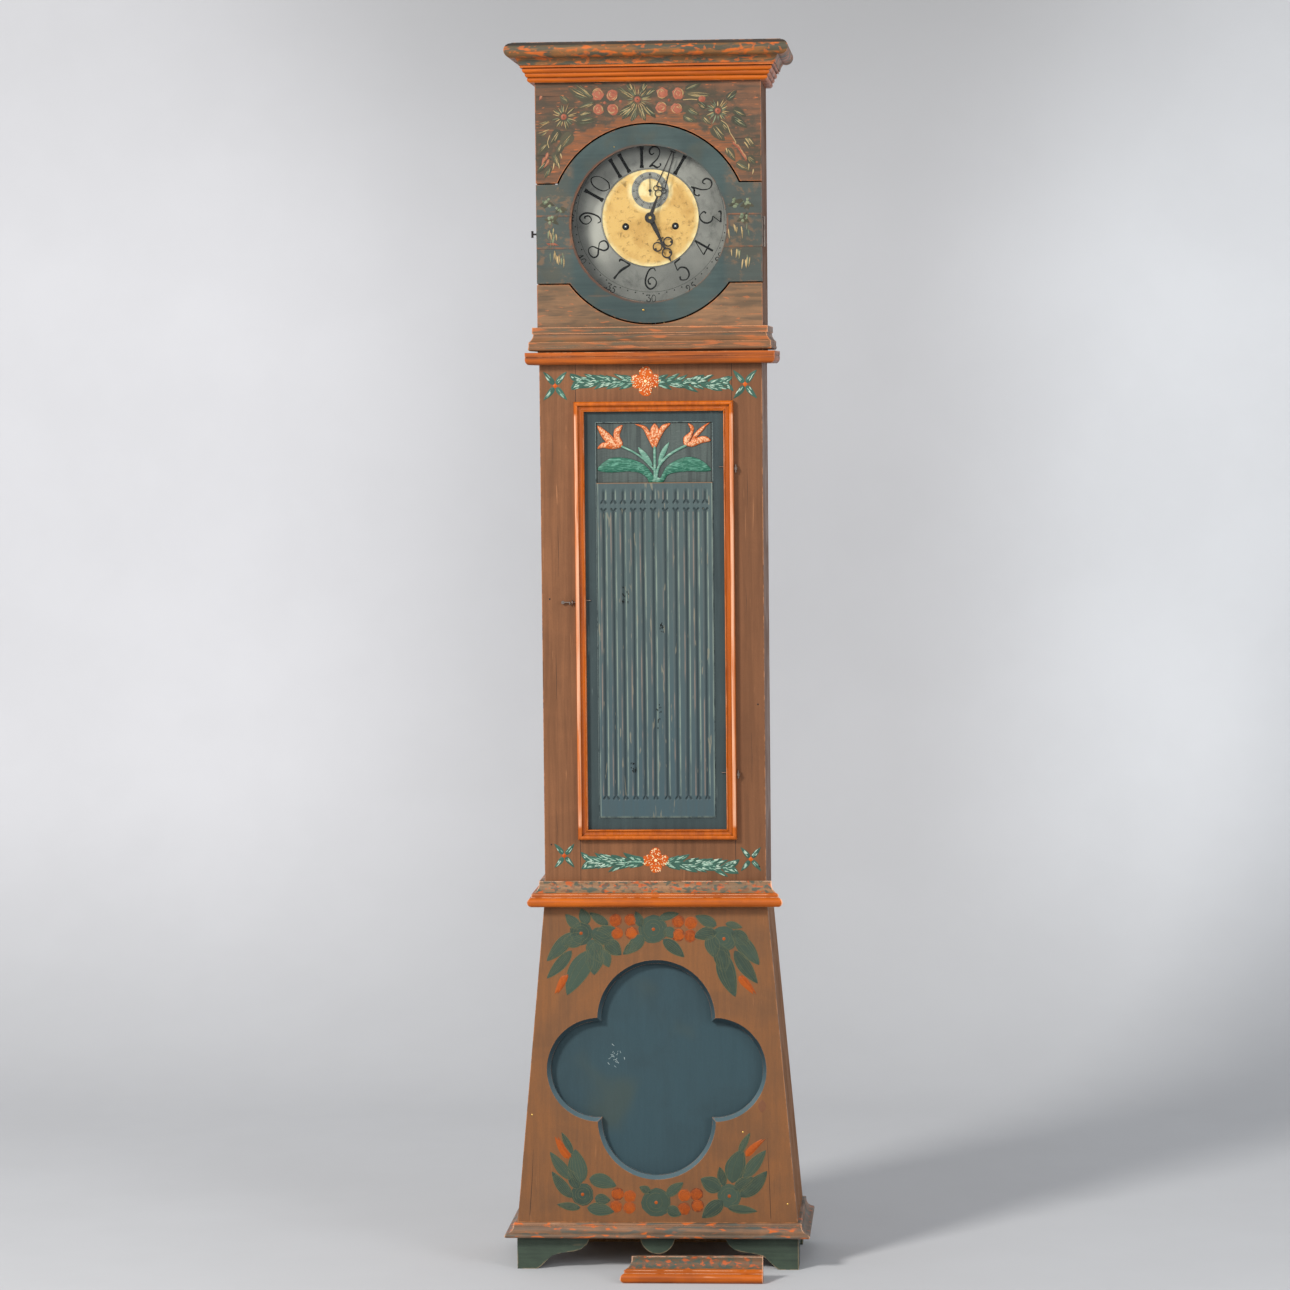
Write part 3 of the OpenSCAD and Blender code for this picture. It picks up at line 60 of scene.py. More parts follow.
# How far faces stand ahead of the wall, and the slope of the base's front up to the waist
BASE_FRONT, TRUNK_FRONT, HOOD_FRONT, DIAL_FRONT, BOARD_FRONT = 224, 222, 226, 183.5, 224.5
BASE_LEAN = 33 / 566
# How far the rim of a paint stroke stands off its face, and the steps along a leaf
RIM = 0.05
TENTHS = [i / 10 for i in range(11)]


# Materials

class Graph:
    """One node material, built socket by socket."""

    def __init__(self, name):
        self.material = bpy.data.materials.new(name)
        self.material.use_nodes = True
        self.tree = self.material.node_tree
        self.tree.nodes.clear()

    def put(self, kind, sockets, out=0, **settings):
        n = self.tree.nodes.new("ShaderNode" + kind)
        for key, value in settings.items():
            setattr(n, key, value)
        for key, value in sockets.items():
            if isinstance(value, bpy.types.NodeSocket):
                self.tree.links.new(value, n.inputs[key])
            else:
                n.inputs[key].default_value = value
        return n.outputs[out]

    def place(self, scale=(1, 1, 1), shift=(0, 0, 0)):
        where = self.put("TexCoord", {}, out="Object")
        return self.put("Mapping", {"Vector": where, "Scale": scale, "Location": shift})

    def noise(self, where, scale=1.0, detail=3.0, rough=0.55, warp=0.0):
        return self.put("TexNoise", {"Vector": where, "Scale": scale, "Detail": detail,
                                     "Roughness": rough, "Distortion": warp})

    def ramp(self, value, lo, hi, a=0.0, b=1.0):
        return self.put("MapRange", {0: value, 1: lo, 2: hi, 3: a, 4: b},
                        interpolation_type="SMOOTHSTEP")

    def calc(self, op, a, b=0.0):
        return self.put("Math", {0: a, 1: b}, operation=op)

    def times(self, a, b):
        return self.calc("MULTIPLY", a, b)

    def less(self, a, b):
        return self.calc("SUBTRACT", a, b)

    def mix(self, fac, a, b):
        return self.put("Mix", {0: fac, 6: a, 7: b}, out=2, data_type="RGBA")

    def coats(self, colour, *layers):
        """Tints laid over a colour, each through its mask."""
        for mask, tint in layers:
            colour = self.mix(mask, colour, tint)
        return colour

    def along(self, axis):
        """The object's own x, y or z in metres."""
        where = self.put("TexCoord", {}, out="Object")
        return self.put("SeparateXYZ", {0: where}, out=axis)

    def band(self, axis, low, high, soft=0.5):
        """1 between two places in millimetres, 0 outside."""
        at = self.along(axis)
        return self.times(self.ramp(at, (low - soft) * MM, (low + soft) * MM),
                          self.ramp(at, (high - soft) * MM, (high + soft) * MM, 1.0, 0.0))

    def away(self, z, x=None):
        """Metres on the front from (0, z), or from the nearer of (x, z) and (-x, z)."""
        across = self.along("X") if x is None else self.less(self.middle_gap(), x * MM)
        point = self.put("CombineXYZ", {0: across, 1: 0.0,
                                        2: self.less(self.along("Z"), z * MM)})
        return self.put("VectorMath", {0: point}, out="Value", operation="LENGTH")

    def middle_gap(self):
        return self.calc("ABSOLUTE", self.along("X"))

    def edges(self, radius):
        round_normal = self.put("Bevel", {"Radius": radius}, samples=6)
        flat_normal = self.put("NewGeometry", {}, out="Normal")
        same = self.put("VectorMath", {0: round_normal, 1: flat_normal}, out="Value",
                        operation="DOT_PRODUCT")
        return self.ramp(self.less(1.0, same), 0.02, 0.2)

    def hollows(self, distance, lo=0.35, hi=0.95):
        # Ambient occlusion as a mask of hollows, which the materials darken as painted shade.
        seen = self.put("AmbientOcclusion", {"Distance": distance}, out="AO", samples=6,
                        only_local=True)
        return self.ramp(seen, lo, hi, 1.0, 0.0)

    def finish(self, colour, rough, metal=0.0, height=None, depth=0.0005, strength=0.6, spec=0.5):
        sockets = {"Base Color": colour, "Roughness": rough, "Metallic": metal,
                   "Specular IOR Level": spec}
        if height is not None:
            sockets["Normal"] = self.put("Bump", {"Height": height, "Distance": depth,
                                                  "Strength": strength})
        return self.show(self.put("BsdfPrincipled", sockets))

    def show(self, shader):
        end = self.tree.nodes.new("ShaderNodeOutputMaterial")
        self.tree.links.new(shader, end.inputs["Surface"])
        return self.material


def rgb(r, g, b):
    """sRGB 0..255 to a linear RGBA."""
    def lin(v):
        v /= 255
        return v / 12.92 if v <= 0.04045 else ((v + 0.055) / 1.055) ** 2.4
    return (lin(r), lin(g), lin(b), 1.0)


GRAIN = {"x": (5, 120, 120), "z": (120, 120, 5), "run": (5, 5, 150)}


def painted(name, coat, shade, bare, along="z", wear=0.5, streak=0.6, cloud=0.5, rough=0.5,
            dabs=(), hollow_shade_and_grime=(28, 20, 16), scratch=0.3, gleam=None, zone=None, crest=None,
            extra=None, spec=0.3):
    """Old oil paint over boards: grain, cloudy tone, worn edges, painted shade and grime in
    hollows.

    zone is a band of height with its own coat and shade. gleam is a painted highlight on the worn
    edges. crest is a band of depth and height whose edges shine with gleam, and whose crest
    carries the painted highlight too. Each of dabs is a tint, its stretch and size, the noise
    where it starts and is full, and its share.
    """
    g = Graph(name)
    grain_at = g.place(GRAIN[along])
    near = g.place()
    grain = g.noise(grain_at, 1.0, 5, 0.62, 0.4)
    fine = g.noise(grain_at, 3.2, 3, 0.6)
    clouds = g.noise(near, 9.0, 4, 0.6, 0.5)
    inside = None
    fade = 0.35 if along == "x" else 1.0
    if zone:
        inside = g.band("Z", zone[0], zone[1])
        coat, shade = g.mix(inside, coat, zone[2]), g.mix(inside, shade, zone[3])
    tone = g.calc("ADD", g.times(g.ramp(grain, 0.36, 0.66), streak),
                  g.times(g.ramp(clouds, 0.36, 0.66), cloud))
    colour = g.mix(g.calc("MINIMUM", tone, 1.0), coat, shade)
    speck = g.noise(near, 420.0, 2, 0.6)
    colour = g.mix(g.ramp(speck, 0.3, 0.75, 0.0, 0.22), colour, shade)
    for tint, scale, size, low, high, amount in dabs:
        at = g.place(scale, (rng.random() * 9, rng.random() * 9, rng.random() * 9))
        mask = g.ramp(g.noise(at, size, 2, 0.5, 0.3), low, high, 0.0, amount)
        if inside is not None:
            mask = g.times(mask, g.less(1.0, g.times(inside, fade)))
        colour = g.mix(mask, colour, tint)
    if scratch:
        lines = g.ramp(g.noise(grain_at, 1.7, 1, 0.4, 0.2), 0.68, 0.74, 0.0, scratch)
        rub = g.ramp(g.noise(near, 14.0, 3, 0.6), 0.5, 0.62)
        colour = g.mix(g.times(lines, rub), colour, bare)
    if extra:
        colour = extra(g, colour, clouds, fine)
    worn = g.edges(0.0035)
    patch = g.ramp(g.noise(near, 38.0, 5, 0.7), 0.62 - 0.3 * wear, 0.72 - 0.3 * wear)
    colour = g.mix(g.times(worn, g.times(patch, min(1.0, 0.35 + wear))), colour, bare)
    # Painted highlight: gleam on the worn edges, and within crest along the moulding's crest.
    if gleam:
        shine = g.times(worn, g.ramp(fine, 0.42, 0.6, 0.0, 0.55))
        if crest:
            upright = g.band("Z", crest[2], crest[3], 4)
            top = g.times(g.band("Y", crest[0], crest[1], 0.4), upright)
            shine = g.calc("MAXIMUM", g.times(shine, upright),
                           g.times(top, g.ramp(grain, 0.34, 0.6, 0.1, 0.75)))
        colour = g.mix(shine, colour, gleam)
    # Painted shade, partly grime: the hollows are darkened where ambient occlusion finds them.
    colour = g.mix(g.times(g.hollows(0.012), 0.6), colour, rgb(*hollow_shade_and_grime))
    height = g.calc("ADD", grain, g.times(g.calc("ADD", fine, speck), 0.3))
    gloss = g.ramp(clouds, 0.3, 0.7, rough - 0.08, rough + 0.12)
    return g.finish(colour, gloss, height=height, depth=0.0008, strength=0.45, spec=spec)


def metal(name, colour, dark, rough=0.35, metallic=1.0, blotch=0.5, scale=60.0, low=0.5,
          high=0.72, extra=None):
    """Aged metal: blotches of the dark tone, duller where they lie."""
    g = Graph(name)
    near = g.place()
    spots = g.ramp(g.noise(near, scale, 6, 0.68, 0.4), low, high, 0.0, blotch)
    cloud = g.ramp(g.noise(near, 14.0, 3, 0.6), 0.35, 0.7, 0.0, 0.5 * blotch)
    base = g.mix(g.calc("MAXIMUM", spots, cloud), colour, dark)
    if extra:
        base = extra(g, base)
    brushed = g.noise(near, 900.0, 2, 0.5)
    gloss = g.calc("ADD", g.ramp(spots, 0.0, 1.0, rough, rough + 0.25),
                   g.ramp(brushed, 0.3, 0.7, -0.04, 0.06))
    return g.finish(base, gloss, metallic, height=g.calc("ADD", spots, brushed), depth=0.0002,
                    strength=0.3)


def coloured(name, colour, light, rough=0.5, dabs=0.5, scale=160.0):
    """Brush paint of one ornament colour; each stroke carries its own tone."""
    g = Graph(name)
    near = g.place()
    tone = g.put("Attribute", {}, out="Fac", attribute_name="tone")
    mottle = g.ramp(g.noise(near, scale, 4, 0.6), 0.4, 0.7, 0.0, dabs)
    base = g.mix(mottle, g.mix(g.times(tone, 0.75), colour, light), light)
    worn = g.ramp(g.noise(near, 55.0, 5, 0.7), 0.62, 0.74, 0.0, 0.6)
    base = g.mix(worn, base, g.mix(0.5, colour, (0.10, 0.07, 0.05, 1)))
    return g.finish(base, rough, height=g.noise(near, 600.0, 3, 0.6), depth=0.0004, strength=0.4,
                    spec=0.25)


def plain(name, colour, rough, spec=0.5):
    g = Graph(name)
    n = g.noise(g.place(), 80.0, 4, 0.6)
    dark = (colour[0] * 0.6, colour[1] * 0.6, colour[2] * 0.6, 1)
    return g.finish(g.mix(g.ramp(n, 0.35, 0.7), colour, dark), rough, height=n, depth=0.0003,
                    strength=0.3, spec=spec)


def bevel_paint(g, colour, clouds, fine):
    """Slate bevel of the quatrefoil: painted shade where it hangs over, painted light facing up.
    """
    normal = g.put("NewGeometry", {}, out="Normal")
    facing = g.put("VectorMath", {0: normal, 1: (0.0, -0.9983, 0.0582)}, out="Value",
                   operation="DOT_PRODUCT")
    upward = g.put("SeparateXYZ", {0: normal}, out="Z")
    tilted = g.ramp(facing, 0.93, 0.985, 1.0, 0.0)
    near_cut = g.times(g.band("Z", 150, 562), g.band("X", -206, 206))
    # Painted shade on the bevel facing down, painted light on the bevel facing up.
    tint = g.mix(g.ramp(upward, -0.35, 0.5), rgb(32, 48, 54), rgb(84, 104, 110))
    tint = g.mix(g.ramp(clouds, 0.3, 0.7, 0.0, 0.4), tint, rgb(52, 70, 76))
    return g.mix(g.times(tilted, near_cut), colour, tint)


def dark_arch(g, colour, clouds, fine):
    """The hood garland's dark ground, a broken band over the arch."""
    frayed = g.times(g.less(g.noise(g.place(), 34.0, 4, 0.6), 0.5), 0.09)
    ragged = g.calc("ADD", g.away(RING_Z), frayed)
    mass = g.times(g.ramp(ragged, 0.196, 0.206), g.ramp(ragged, 0.25, 0.275, 1.0, 0.0))
    mass = g.times(mass, g.ramp(g.along("Z"), 1.93, 1.96))
    broken = g.ramp(g.noise(g.place((1, 1, 1.6)), 52.0, 4, 0.65, 0.6), 0.36, 0.56, 0.15, 0.78)
    glow = g.times(g.ramp(ragged, 0.205, 0.192), g.ramp(g.along("Z"), 1.93, 1.99))
    return g.coats(colour, (g.times(glow, g.ramp(fine, 0.35, 0.6, 0.1, 0.7)), rgb(134, 78, 40)),
                   (g.times(mass, broken), rgb(62, 60, 48)))


def ring_rim(g, colour, clouds, fine):
    """Bare wood at the rim of the round opening and round the middle blocks."""
    near = g.place()
    ragged = g.calc("ADD", g.away(RING_Z), g.times(g.noise(near, 60.0, 4, 0.6), 0.006))
    rim = g.ramp(ragged, 0.1435, 0.1455, 0.9, 0.0)
    side = g.ramp(g.along("X"), -0.12, 0.05, 1.0, 0.12)
    ear = g.ramp(g.middle_gap(), 0.128, 0.146)
    rub = g.ramp(g.noise(g.place((1, 1, 1.4)), 46.0, 5, 0.7, 0.4), 0.5, 0.64, 0.0, 0.72)
    block = g.times(g.band("Z", 1821, 1881, 0.8), ear)
    core = g.times(g.band("Z", 1824, 1878, 1.2), g.ramp(g.middle_gap(), 0.140, 0.142))
    line = g.times(g.less(block, core), g.ramp(g.noise(near, 90.0, 3, 0.6), 0.42, 0.56, 0.1, 0.85))
    return g.coats(colour, (g.times(rim, side), rgb(86, 56, 40)),
                   (g.times(ear, 0.2), rgb(98, 84, 66)),
                   (g.times(ear, rub), rgb(112, 88, 66)), (line, rgb(128, 82, 54)))


def right_dusk(g, colour, clouds, fine):
    """Painted shade: darker towards the right, away from the light."""
    return g.mix(g.ramp(g.along("X"), -0.1, 0.2, 0.0, 0.3), colour, rgb(84, 54, 36))


def clear_side(g, base):
    """Pewter with painted light on the left next to the brass, a painted shadow at its left rim,
    darker low down.
    """
    out, centre = g.away(DIAL_Z), DIAL_Z * MM
    inner = g.times(g.ramp(out, 0.106, 0.124, 1.0, 0.0),
                    g.ramp(g.along("X"), -0.1, -0.055, 1.0, 0.0))
    low = g.ramp(g.along("Z"), centre + 0.02, centre + 0.055, 0.6, 0.0)
    foot = g.ramp(g.along("Z"), centre - 0.1, centre - 0.03, 0.35, 0.0)
    rim = g.times(g.ramp(out, 0.114, 0.13), g.ramp(g.along("X"), -0.06, 0.0, 0.45, 0.0))
    # Painted light on the left inner part, a painted shadow at the left rim, darker low down.
    return g.coats(base, (g.times(inner, low), rgb(186, 181, 171)),
                   (g.calc("MAXIMUM", foot, rim), rgb(70, 70, 68)))


def winding_brass():
    """Brass drum whose steel arbor has painted shade in its hole and a painted highlight in the
    middle of its end.
    """
    g = Graph("winding_brass")
    spots = g.ramp(g.noise(g.place(), 60.0, 6, 0.68, 0.4), 0.5, 0.72, 0.0, 0.45)
    base = g.mix(spots, rgb(206, 168, 92), rgb(120, 88, 44))
    arbor = g.ramp(g.along("Y"), -0.166, -0.164, 1.0, 0.0)
    middle = g.away(DIAL_Z - WINDING_DOWN, 44.3)
    # Painted highlight in the middle of the arbor's end, painted shade round it in the hole.
    tip = g.mix(g.ramp(middle, 0.0009, 0.0016), rgb(220, 214, 200), rgb(20, 17, 15))
    return g.finish(g.mix(arbor, base, tip), 0.4, g.less(1.0, arbor), height=spots,
                    depth=0.0002, strength=0.3)


def dial_brass():
    """Yellow brass, stained in blotches, rubbed bright round the seconds ring and at the rim."""
    g = Graph("dial_brass")
    near = g.place()
    spots = g.noise(near, 120.0, 5, 0.7, 0.5)
    broad = g.noise(near, 26.0, 4, 0.6, 0.4)
    halo = g.calc("MAXIMUM", g.ramp(g.away(DIAL_Z + SECONDS_UP), 0.034, 0.044, 1.0, 0.0),
                  g.ramp(g.away(DIAL_Z), 0.076, 0.086))
    halo = g.times(halo, g.ramp(g.noise(near, 60.0, 3, 0.6), 0.35, 0.6, 0.2, 0.9))
    base = g.coats(rgb(214, 172, 104), (g.ramp(broad, 0.4, 0.7, 0.0, 0.6), rgb(180, 132, 66)),
                   (g.ramp(spots, 0.54, 0.7, 0.0, 0.75), rgb(120, 92, 50)),
                   (halo, rgb(234, 214, 162)))
    return g.finish(base, g.ramp(spots, 0.4, 0.7, 0.36, 0.58), 0.75, height=spots, depth=0.0002,
                    strength=0.35)


def glass():
    g = Graph("door_glass")
    clear = g.put("BsdfTransparent", {"Color": (0.97, 0.985, 0.98, 1)})
    shine = g.put("BsdfGlossy", {"Color": (0.9, 0.95, 1, 1), "Roughness": 0.03})
    return g.show(g.put("MixShader", {0: 0.014, 1: clear, 2: shine}))


BARE = rgb(190, 132, 90)
BEAD = rgb(194, 96, 12)
BEAD_DARK = rgb(142, 66, 12)
# Pale pink: the colour of worn edges, and of the painted highlight on moulding edges.
PALE_WEAR_AND_HIGHLIGHT = rgb(236, 184, 150)
FLECK = rgb(206, 98, 26)
SPECKLE = ((rgb(54, 68, 60), (9, 9, 44), 2.4, 0.46, 0.58, 0.75),
           (FLECK, (15, 15, 52), 2.4, 0.55, 0.66, 0.7),
           (FLECK, (44, 44, 70), 2.0, 0.56, 0.64, 0.5))
COVE = ((rgb(186, 86, 34), (40, 60, 70), 2.2, 0.56, 0.62, 0.85),
        (rgb(58, 80, 72), (36, 70, 60), 2.2, 0.5, 0.6, 0.8),
        (rgb(120, 70, 44), (60, 90, 90), 2.2, 0.58, 0.64, 0.6))

M = {}
M["trunk"] = painted("trunk_brown", rgb(132, 88, 58), rgb(100, 66, 43), BARE, "z", wear=0.6,
                     streak=0.5, cloud=0.3, scratch=0.35, spec=0.2, extra=right_dusk)
M["base"] = painted("base_brown", rgb(144, 96, 56), rgb(110, 74, 46), rgb(196, 136, 88), "z",
                    wear=0.6, streak=0.45, cloud=0.4, rough=0.6, scratch=0.25, spec=0.08)
M["base_front"] = painted("base_front_brown", rgb(130, 84, 47), rgb(98, 68, 44),
                          rgb(186, 126, 80), "z", wear=0.6, streak=0.3, cloud=0.45, rough=0.48,
                          scratch=0.15, extra=bevel_paint)
M["hood"] = painted("hood_paint", rgb(124, 82, 56), rgb(78, 62, 48), rgb(176, 106, 62), "x",
                    wear=0.7, cloud=0.45, rough=0.58, scratch=0.5,
                    dabs=((rgb(62, 58, 48), (3, 3, 18), 5.0, 0.48, 0.64, 0.65),
                          (rgb(188, 104, 56), (10, 10, 40), 6.0, 0.62, 0.7, 0.7)),
                    zone=(1600, 1800, rgb(142, 104, 72), rgb(98, 78, 58)), extra=dark_arch)
M["hood_side"] = painted("hood_side_brown", rgb(126, 86, 58), rgb(92, 62, 44), BARE, "z",
                         wear=0.6, streak=0.5, rough=0.6, spec=0.08)
M["slate"] = painted("slate_blue", rgb(56, 70, 71), rgb(40, 52, 54), rgb(128, 142, 138), "z",
                     wear=0.75, streak=0.4, cloud=0.4, hollow_shade_and_grime=(16, 20, 22))
M["panel"] = painted("panel_blue", rgb(48, 71, 78), rgb(40, 60, 66), rgb(150, 165, 165), "z",
                     streak=0.2, rough=0.48, scratch=0,
                     dabs=((rgb(62, 72, 64), (1, 1, 1), 7.0, 0.5, 0.72, 0.55),))
M["ring"] = painted("ring_blue", rgb(64, 80, 78), rgb(44, 58, 58), rgb(140, 92, 60), "x",
                    wear=0.45, streak=0.3, rough=0.52, scratch=0.15,
                    dabs=((rgb(70, 70, 58), (1, 1, 1), 14.0, 0.52, 0.66, 0.4),), extra=ring_rim)
M["feet"] = painted("foot_green", rgb(66, 80, 66), rgb(44, 54, 46), rgb(150, 130, 98), "x",
                    wear=0.7, streak=0.4, rough=0.52)
# gleam in these mouldings is a painted highlight on their worn edges; crest adds one along the
# door moulding's crest.
M["orange"] = painted("moulding_orange", rgb(182, 90, 18), rgb(118, 58, 18), rgb(216, 150, 106),
                      "run", wear=0.45, streak=0.8, cloud=0.35, rough=0.42, scratch=0.2,
                      gleam=rgb(214, 120, 62))
M["orange_z"] = painted("moulding_orange_upright", rgb(196, 98, 16), rgb(148, 68, 14),
                        rgb(212, 124, 60), "z", wear=0.6, streak=0.55, cloud=0.3, rough=0.34,
                        scratch=0.25, gleam=PALE_WEAR_AND_HIGHLIGHT, crest=(-236, -233.4, 793, 1527))
M["bed"] = painted("bed_orange", rgb(194, 96, 4), rgb(152, 70, 6), rgb(206, 128, 70), "run",
                   wear=0.35, streak=0.85, cloud=0.25, rough=0.42, scratch=0.15)
M["crown"] = painted("crown_paint", rgb(146, 96, 52), rgb(92, 70, 44), rgb(180, 120, 78), "run",
                     dabs=SPECKLE, zone=(2176.5, 2190, rgb(70, 56, 44), rgb(46, 44, 40)))
M["speckled"] = painted("speckled_paint", rgb(136, 92, 58), rgb(92, 68, 48), rgb(216, 150, 104),
                        "run", wear=0.95,
                        dabs=((rgb(178, 98, 50), (8, 8, 70), 2.2, 0.58, 0.66, 0.7),
                              (rgb(72, 78, 64), (8, 8, 60), 2.2, 0.56, 0.66, 0.55)))
M["base_mould"] = painted("base_mould_paint", rgb(150, 108, 78), rgb(84, 74, 62),
                          rgb(232, 178, 140), "run", wear=1.1, rough=0.48,
                          gleam=rgb(226, 170, 130),
                          dabs=((FLECK, (18, 18, 60), 2.2, 0.58, 0.65, 0.8),
                                (rgb(70, 84, 80), (9, 9, 60), 2.2, 0.52, 0.62, 0.7)))
M["waist"] = painted("waist_paint", rgb(158, 114, 79), rgb(98, 88, 70), PALE_WEAR_AND_HIGHLIGHT, "run", wear=0.7,
                     streak=0.5, rough=0.44, dabs=COVE, gleam=PALE_WEAR_AND_HIGHLIGHT,
                     zone=(600, 674.5, BEAD, BEAD_DARK))
M["loose"] = painted("loose_paint", rgb(128, 88, 60), rgb(82, 74, 58), PALE_WEAR_AND_HIGHLIGHT, "run", wear=0.7,
                     streak=0.5, rough=0.44, dabs=COVE, gleam=PALE_WEAR_AND_HIGHLIGHT,
                     zone=(-50, 24.5, BEAD, BEAD_DARK))
M["pine"] = painted("bare_pine", rgb(176, 136, 92), rgb(132, 96, 60), rgb(196, 160, 116), "z",
                    wear=0.3, streak=0.8, cloud=0.4, rough=0.66, scratch=0.2)
M["brass"] = metal("brass", rgb(206, 168, 92), rgb(120, 88, 44), 0.3, 1.0, 0.45)
M["pewter"] = metal("pewter", rgb(142, 139, 132), rgb(72, 71, 69), 0.46, 0.4, 0.8, 24.0,
                    0.4, 0.8, extra=clear_side)
M["iron"] = metal("iron", rgb(52, 50, 50), rgb(30, 26, 24), 0.45, 0.8, 0.6)
M["blued"] = metal("hand_iron", rgb(58, 54, 52), rgb(30, 28, 28), 0.38, 0.85, 0.5)
M["hinge"] = metal("hinge_steel", rgb(130, 118, 110), rgb(70, 52, 44), 0.42, 0.9, 0.7, 140.0)
M["steel"] = metal("steel", rgb(140, 142, 146), rgb(90, 90, 92), 0.28, 1.0, 0.3)
M["lead"] = metal("lead", rgb(96, 98, 102), rgb(66, 66, 70), 0.6, 0.7, 0.5)
M["gut"] = plain("gut", rgb(186, 160, 112), 0.6)
M["black"] = plain("numeral_black", rgb(24, 22, 21), 0.6, spec=0.1)
M["winding"] = winding_brass()
M["gilt"] = dial_brass()
M["glass"] = glass()

FINISH = {
    "pine": "back_boards base_shelves seat_board glue_blocks",
    "base": "base_sides",
    "base_front": "base_front_board",
    "panel": "quatrefoil_panel",
    "feet": "bracket_feet",
    "speckled": "hood_base_moulding",
    "base_mould": "base_moulding",
    "orange": "trunk_top_moulding",
    "waist": "waist_moulding",
    "loose": "loose_moulding",
    "trunk": "trunk_sides trunk_front_frame",
    "slate": "door_board tulip_carving fluted_panel",
    "orange_z": "door_moulding",
    "hood": "hood_front_boards",
    "hood_side": "hood_carcase",
    "crown": "cornice_crown",
    "bed": "cornice_bed",
    "ring": "hood_door_boards",
    "glass": "hood_glass",
    "hinge": "hood_hinge_fixed_leaf hood_hinge_door_leaf door_hinge_staples door_hinge_eyes "
             "latch_hook",
    "iron": "hood_door_knob",
    "gilt": "dial_plate",
    "pewter": "chapter_rings",
    "blued": "hour_hand minute_hand seconds_hand",
    "brass": "movement_plates bell hour_wheel centre_arbor minute_wheel third_wheel "
             "escape_wheel going_great_wheel pendulum_bob going_pulley strike_great_wheel "
             "strike_pulley pin_wheel gathering_wheel fly",
    "winding": "going_barrel strike_barrel",
    "steel": "anchor_and_crutch pendulum_rod hammer",
    "lead": "going_weight strike_weight",
    "gut": "going_line strike_line",
}
for key, names in FINISH.items():
    for n in names.split():
        mesh = NODES[n].data
        mesh.materials.clear()
        mesh.materials.append(M[key])


# Pieces built here

def link(name, data):
    o = bpy.data.objects.new(name, data)
    bpy.context.scene.collection.objects.link(o)
    return o


def store(mesh, name, values):
    """One number for every point of a mesh."""
    layer = mesh.attributes.new(name, "FLOAT", "POINT")
    layer.data.foreach_set("value", np.asarray(values, np.float32))


def make(name, verts, faces, material, body=None, tone=None):
    """A smooth mesh, on body where one is given."""
    mesh = bpy.data.meshes.new(name)
    mesh.from_pydata([tuple(v) for v in verts], [], faces)
    mesh.update()
    if tone is not None:
        store(mesh, "tone", tone)
    mesh.polygons.foreach_set("use_smooth", [True] * len(mesh.polygons))
    mesh.materials.append(material)
    o = link(name, mesh)
    if body:
        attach(o, body)
    return o


def catmull(a, b, c, d, per):
    """Points of a Catmull-Rom curve from b to just before c."""
    return [0.5 * (2 * b + (c - a) * t + (2 * a - 5 * b + 4 * c - d) * t * t
                   + (3 * b - a - 3 * c + d) * t ** 3) for t in (i / per for i in range(per))]


def spline(points, per):
    """An open curve through points, or a straight line through two."""
    p = [np.array(q, float) for q in points]
    if len(p) < 3:
        return [p[0] + (p[-1] - p[0]) * i / per for i in range(per + 1)]
    p = [2 * p[0] - p[1]] + p + [2 * p[-1] - p[-2]]
    return [q for four in zip(p, p[1:], p[2:], p[3:]) for q in catmull(*four, per)] + [p[-2]]


def beside(x, z, r, angle, flat=1.0):
    """The place r from (x, z) at an angle, its rise times flat."""
    return (x + r * math.cos(angle), z + flat * r * math.sin(angle))


def arc(x, z, r, step, count, start=0.0):
    return [beside(x, z, r, start + step * t) for t in range(count)]


def any_angle():
    """A random angle of nearly a whole turn."""
    return rng.random() * 6.28


def stroke_frame(a, b):
    """A stroke's foot, its run to the tip and the unit vector across it."""
    a = np.array(a, float)
    run = np.array(b, float) - a
    return a, run, np.array([-run[1], run[0]]) / np.linalg.norm(run)


def face_plane(depth, lean=0.0):
    """Places (x, z, height) in millimetres on a front face depth ahead of the wall."""
    def at(x, z, h):
        return (x * MM, -(depth + lean * (WAIST_Z - z) + h) * MM, z * MM)
    return at


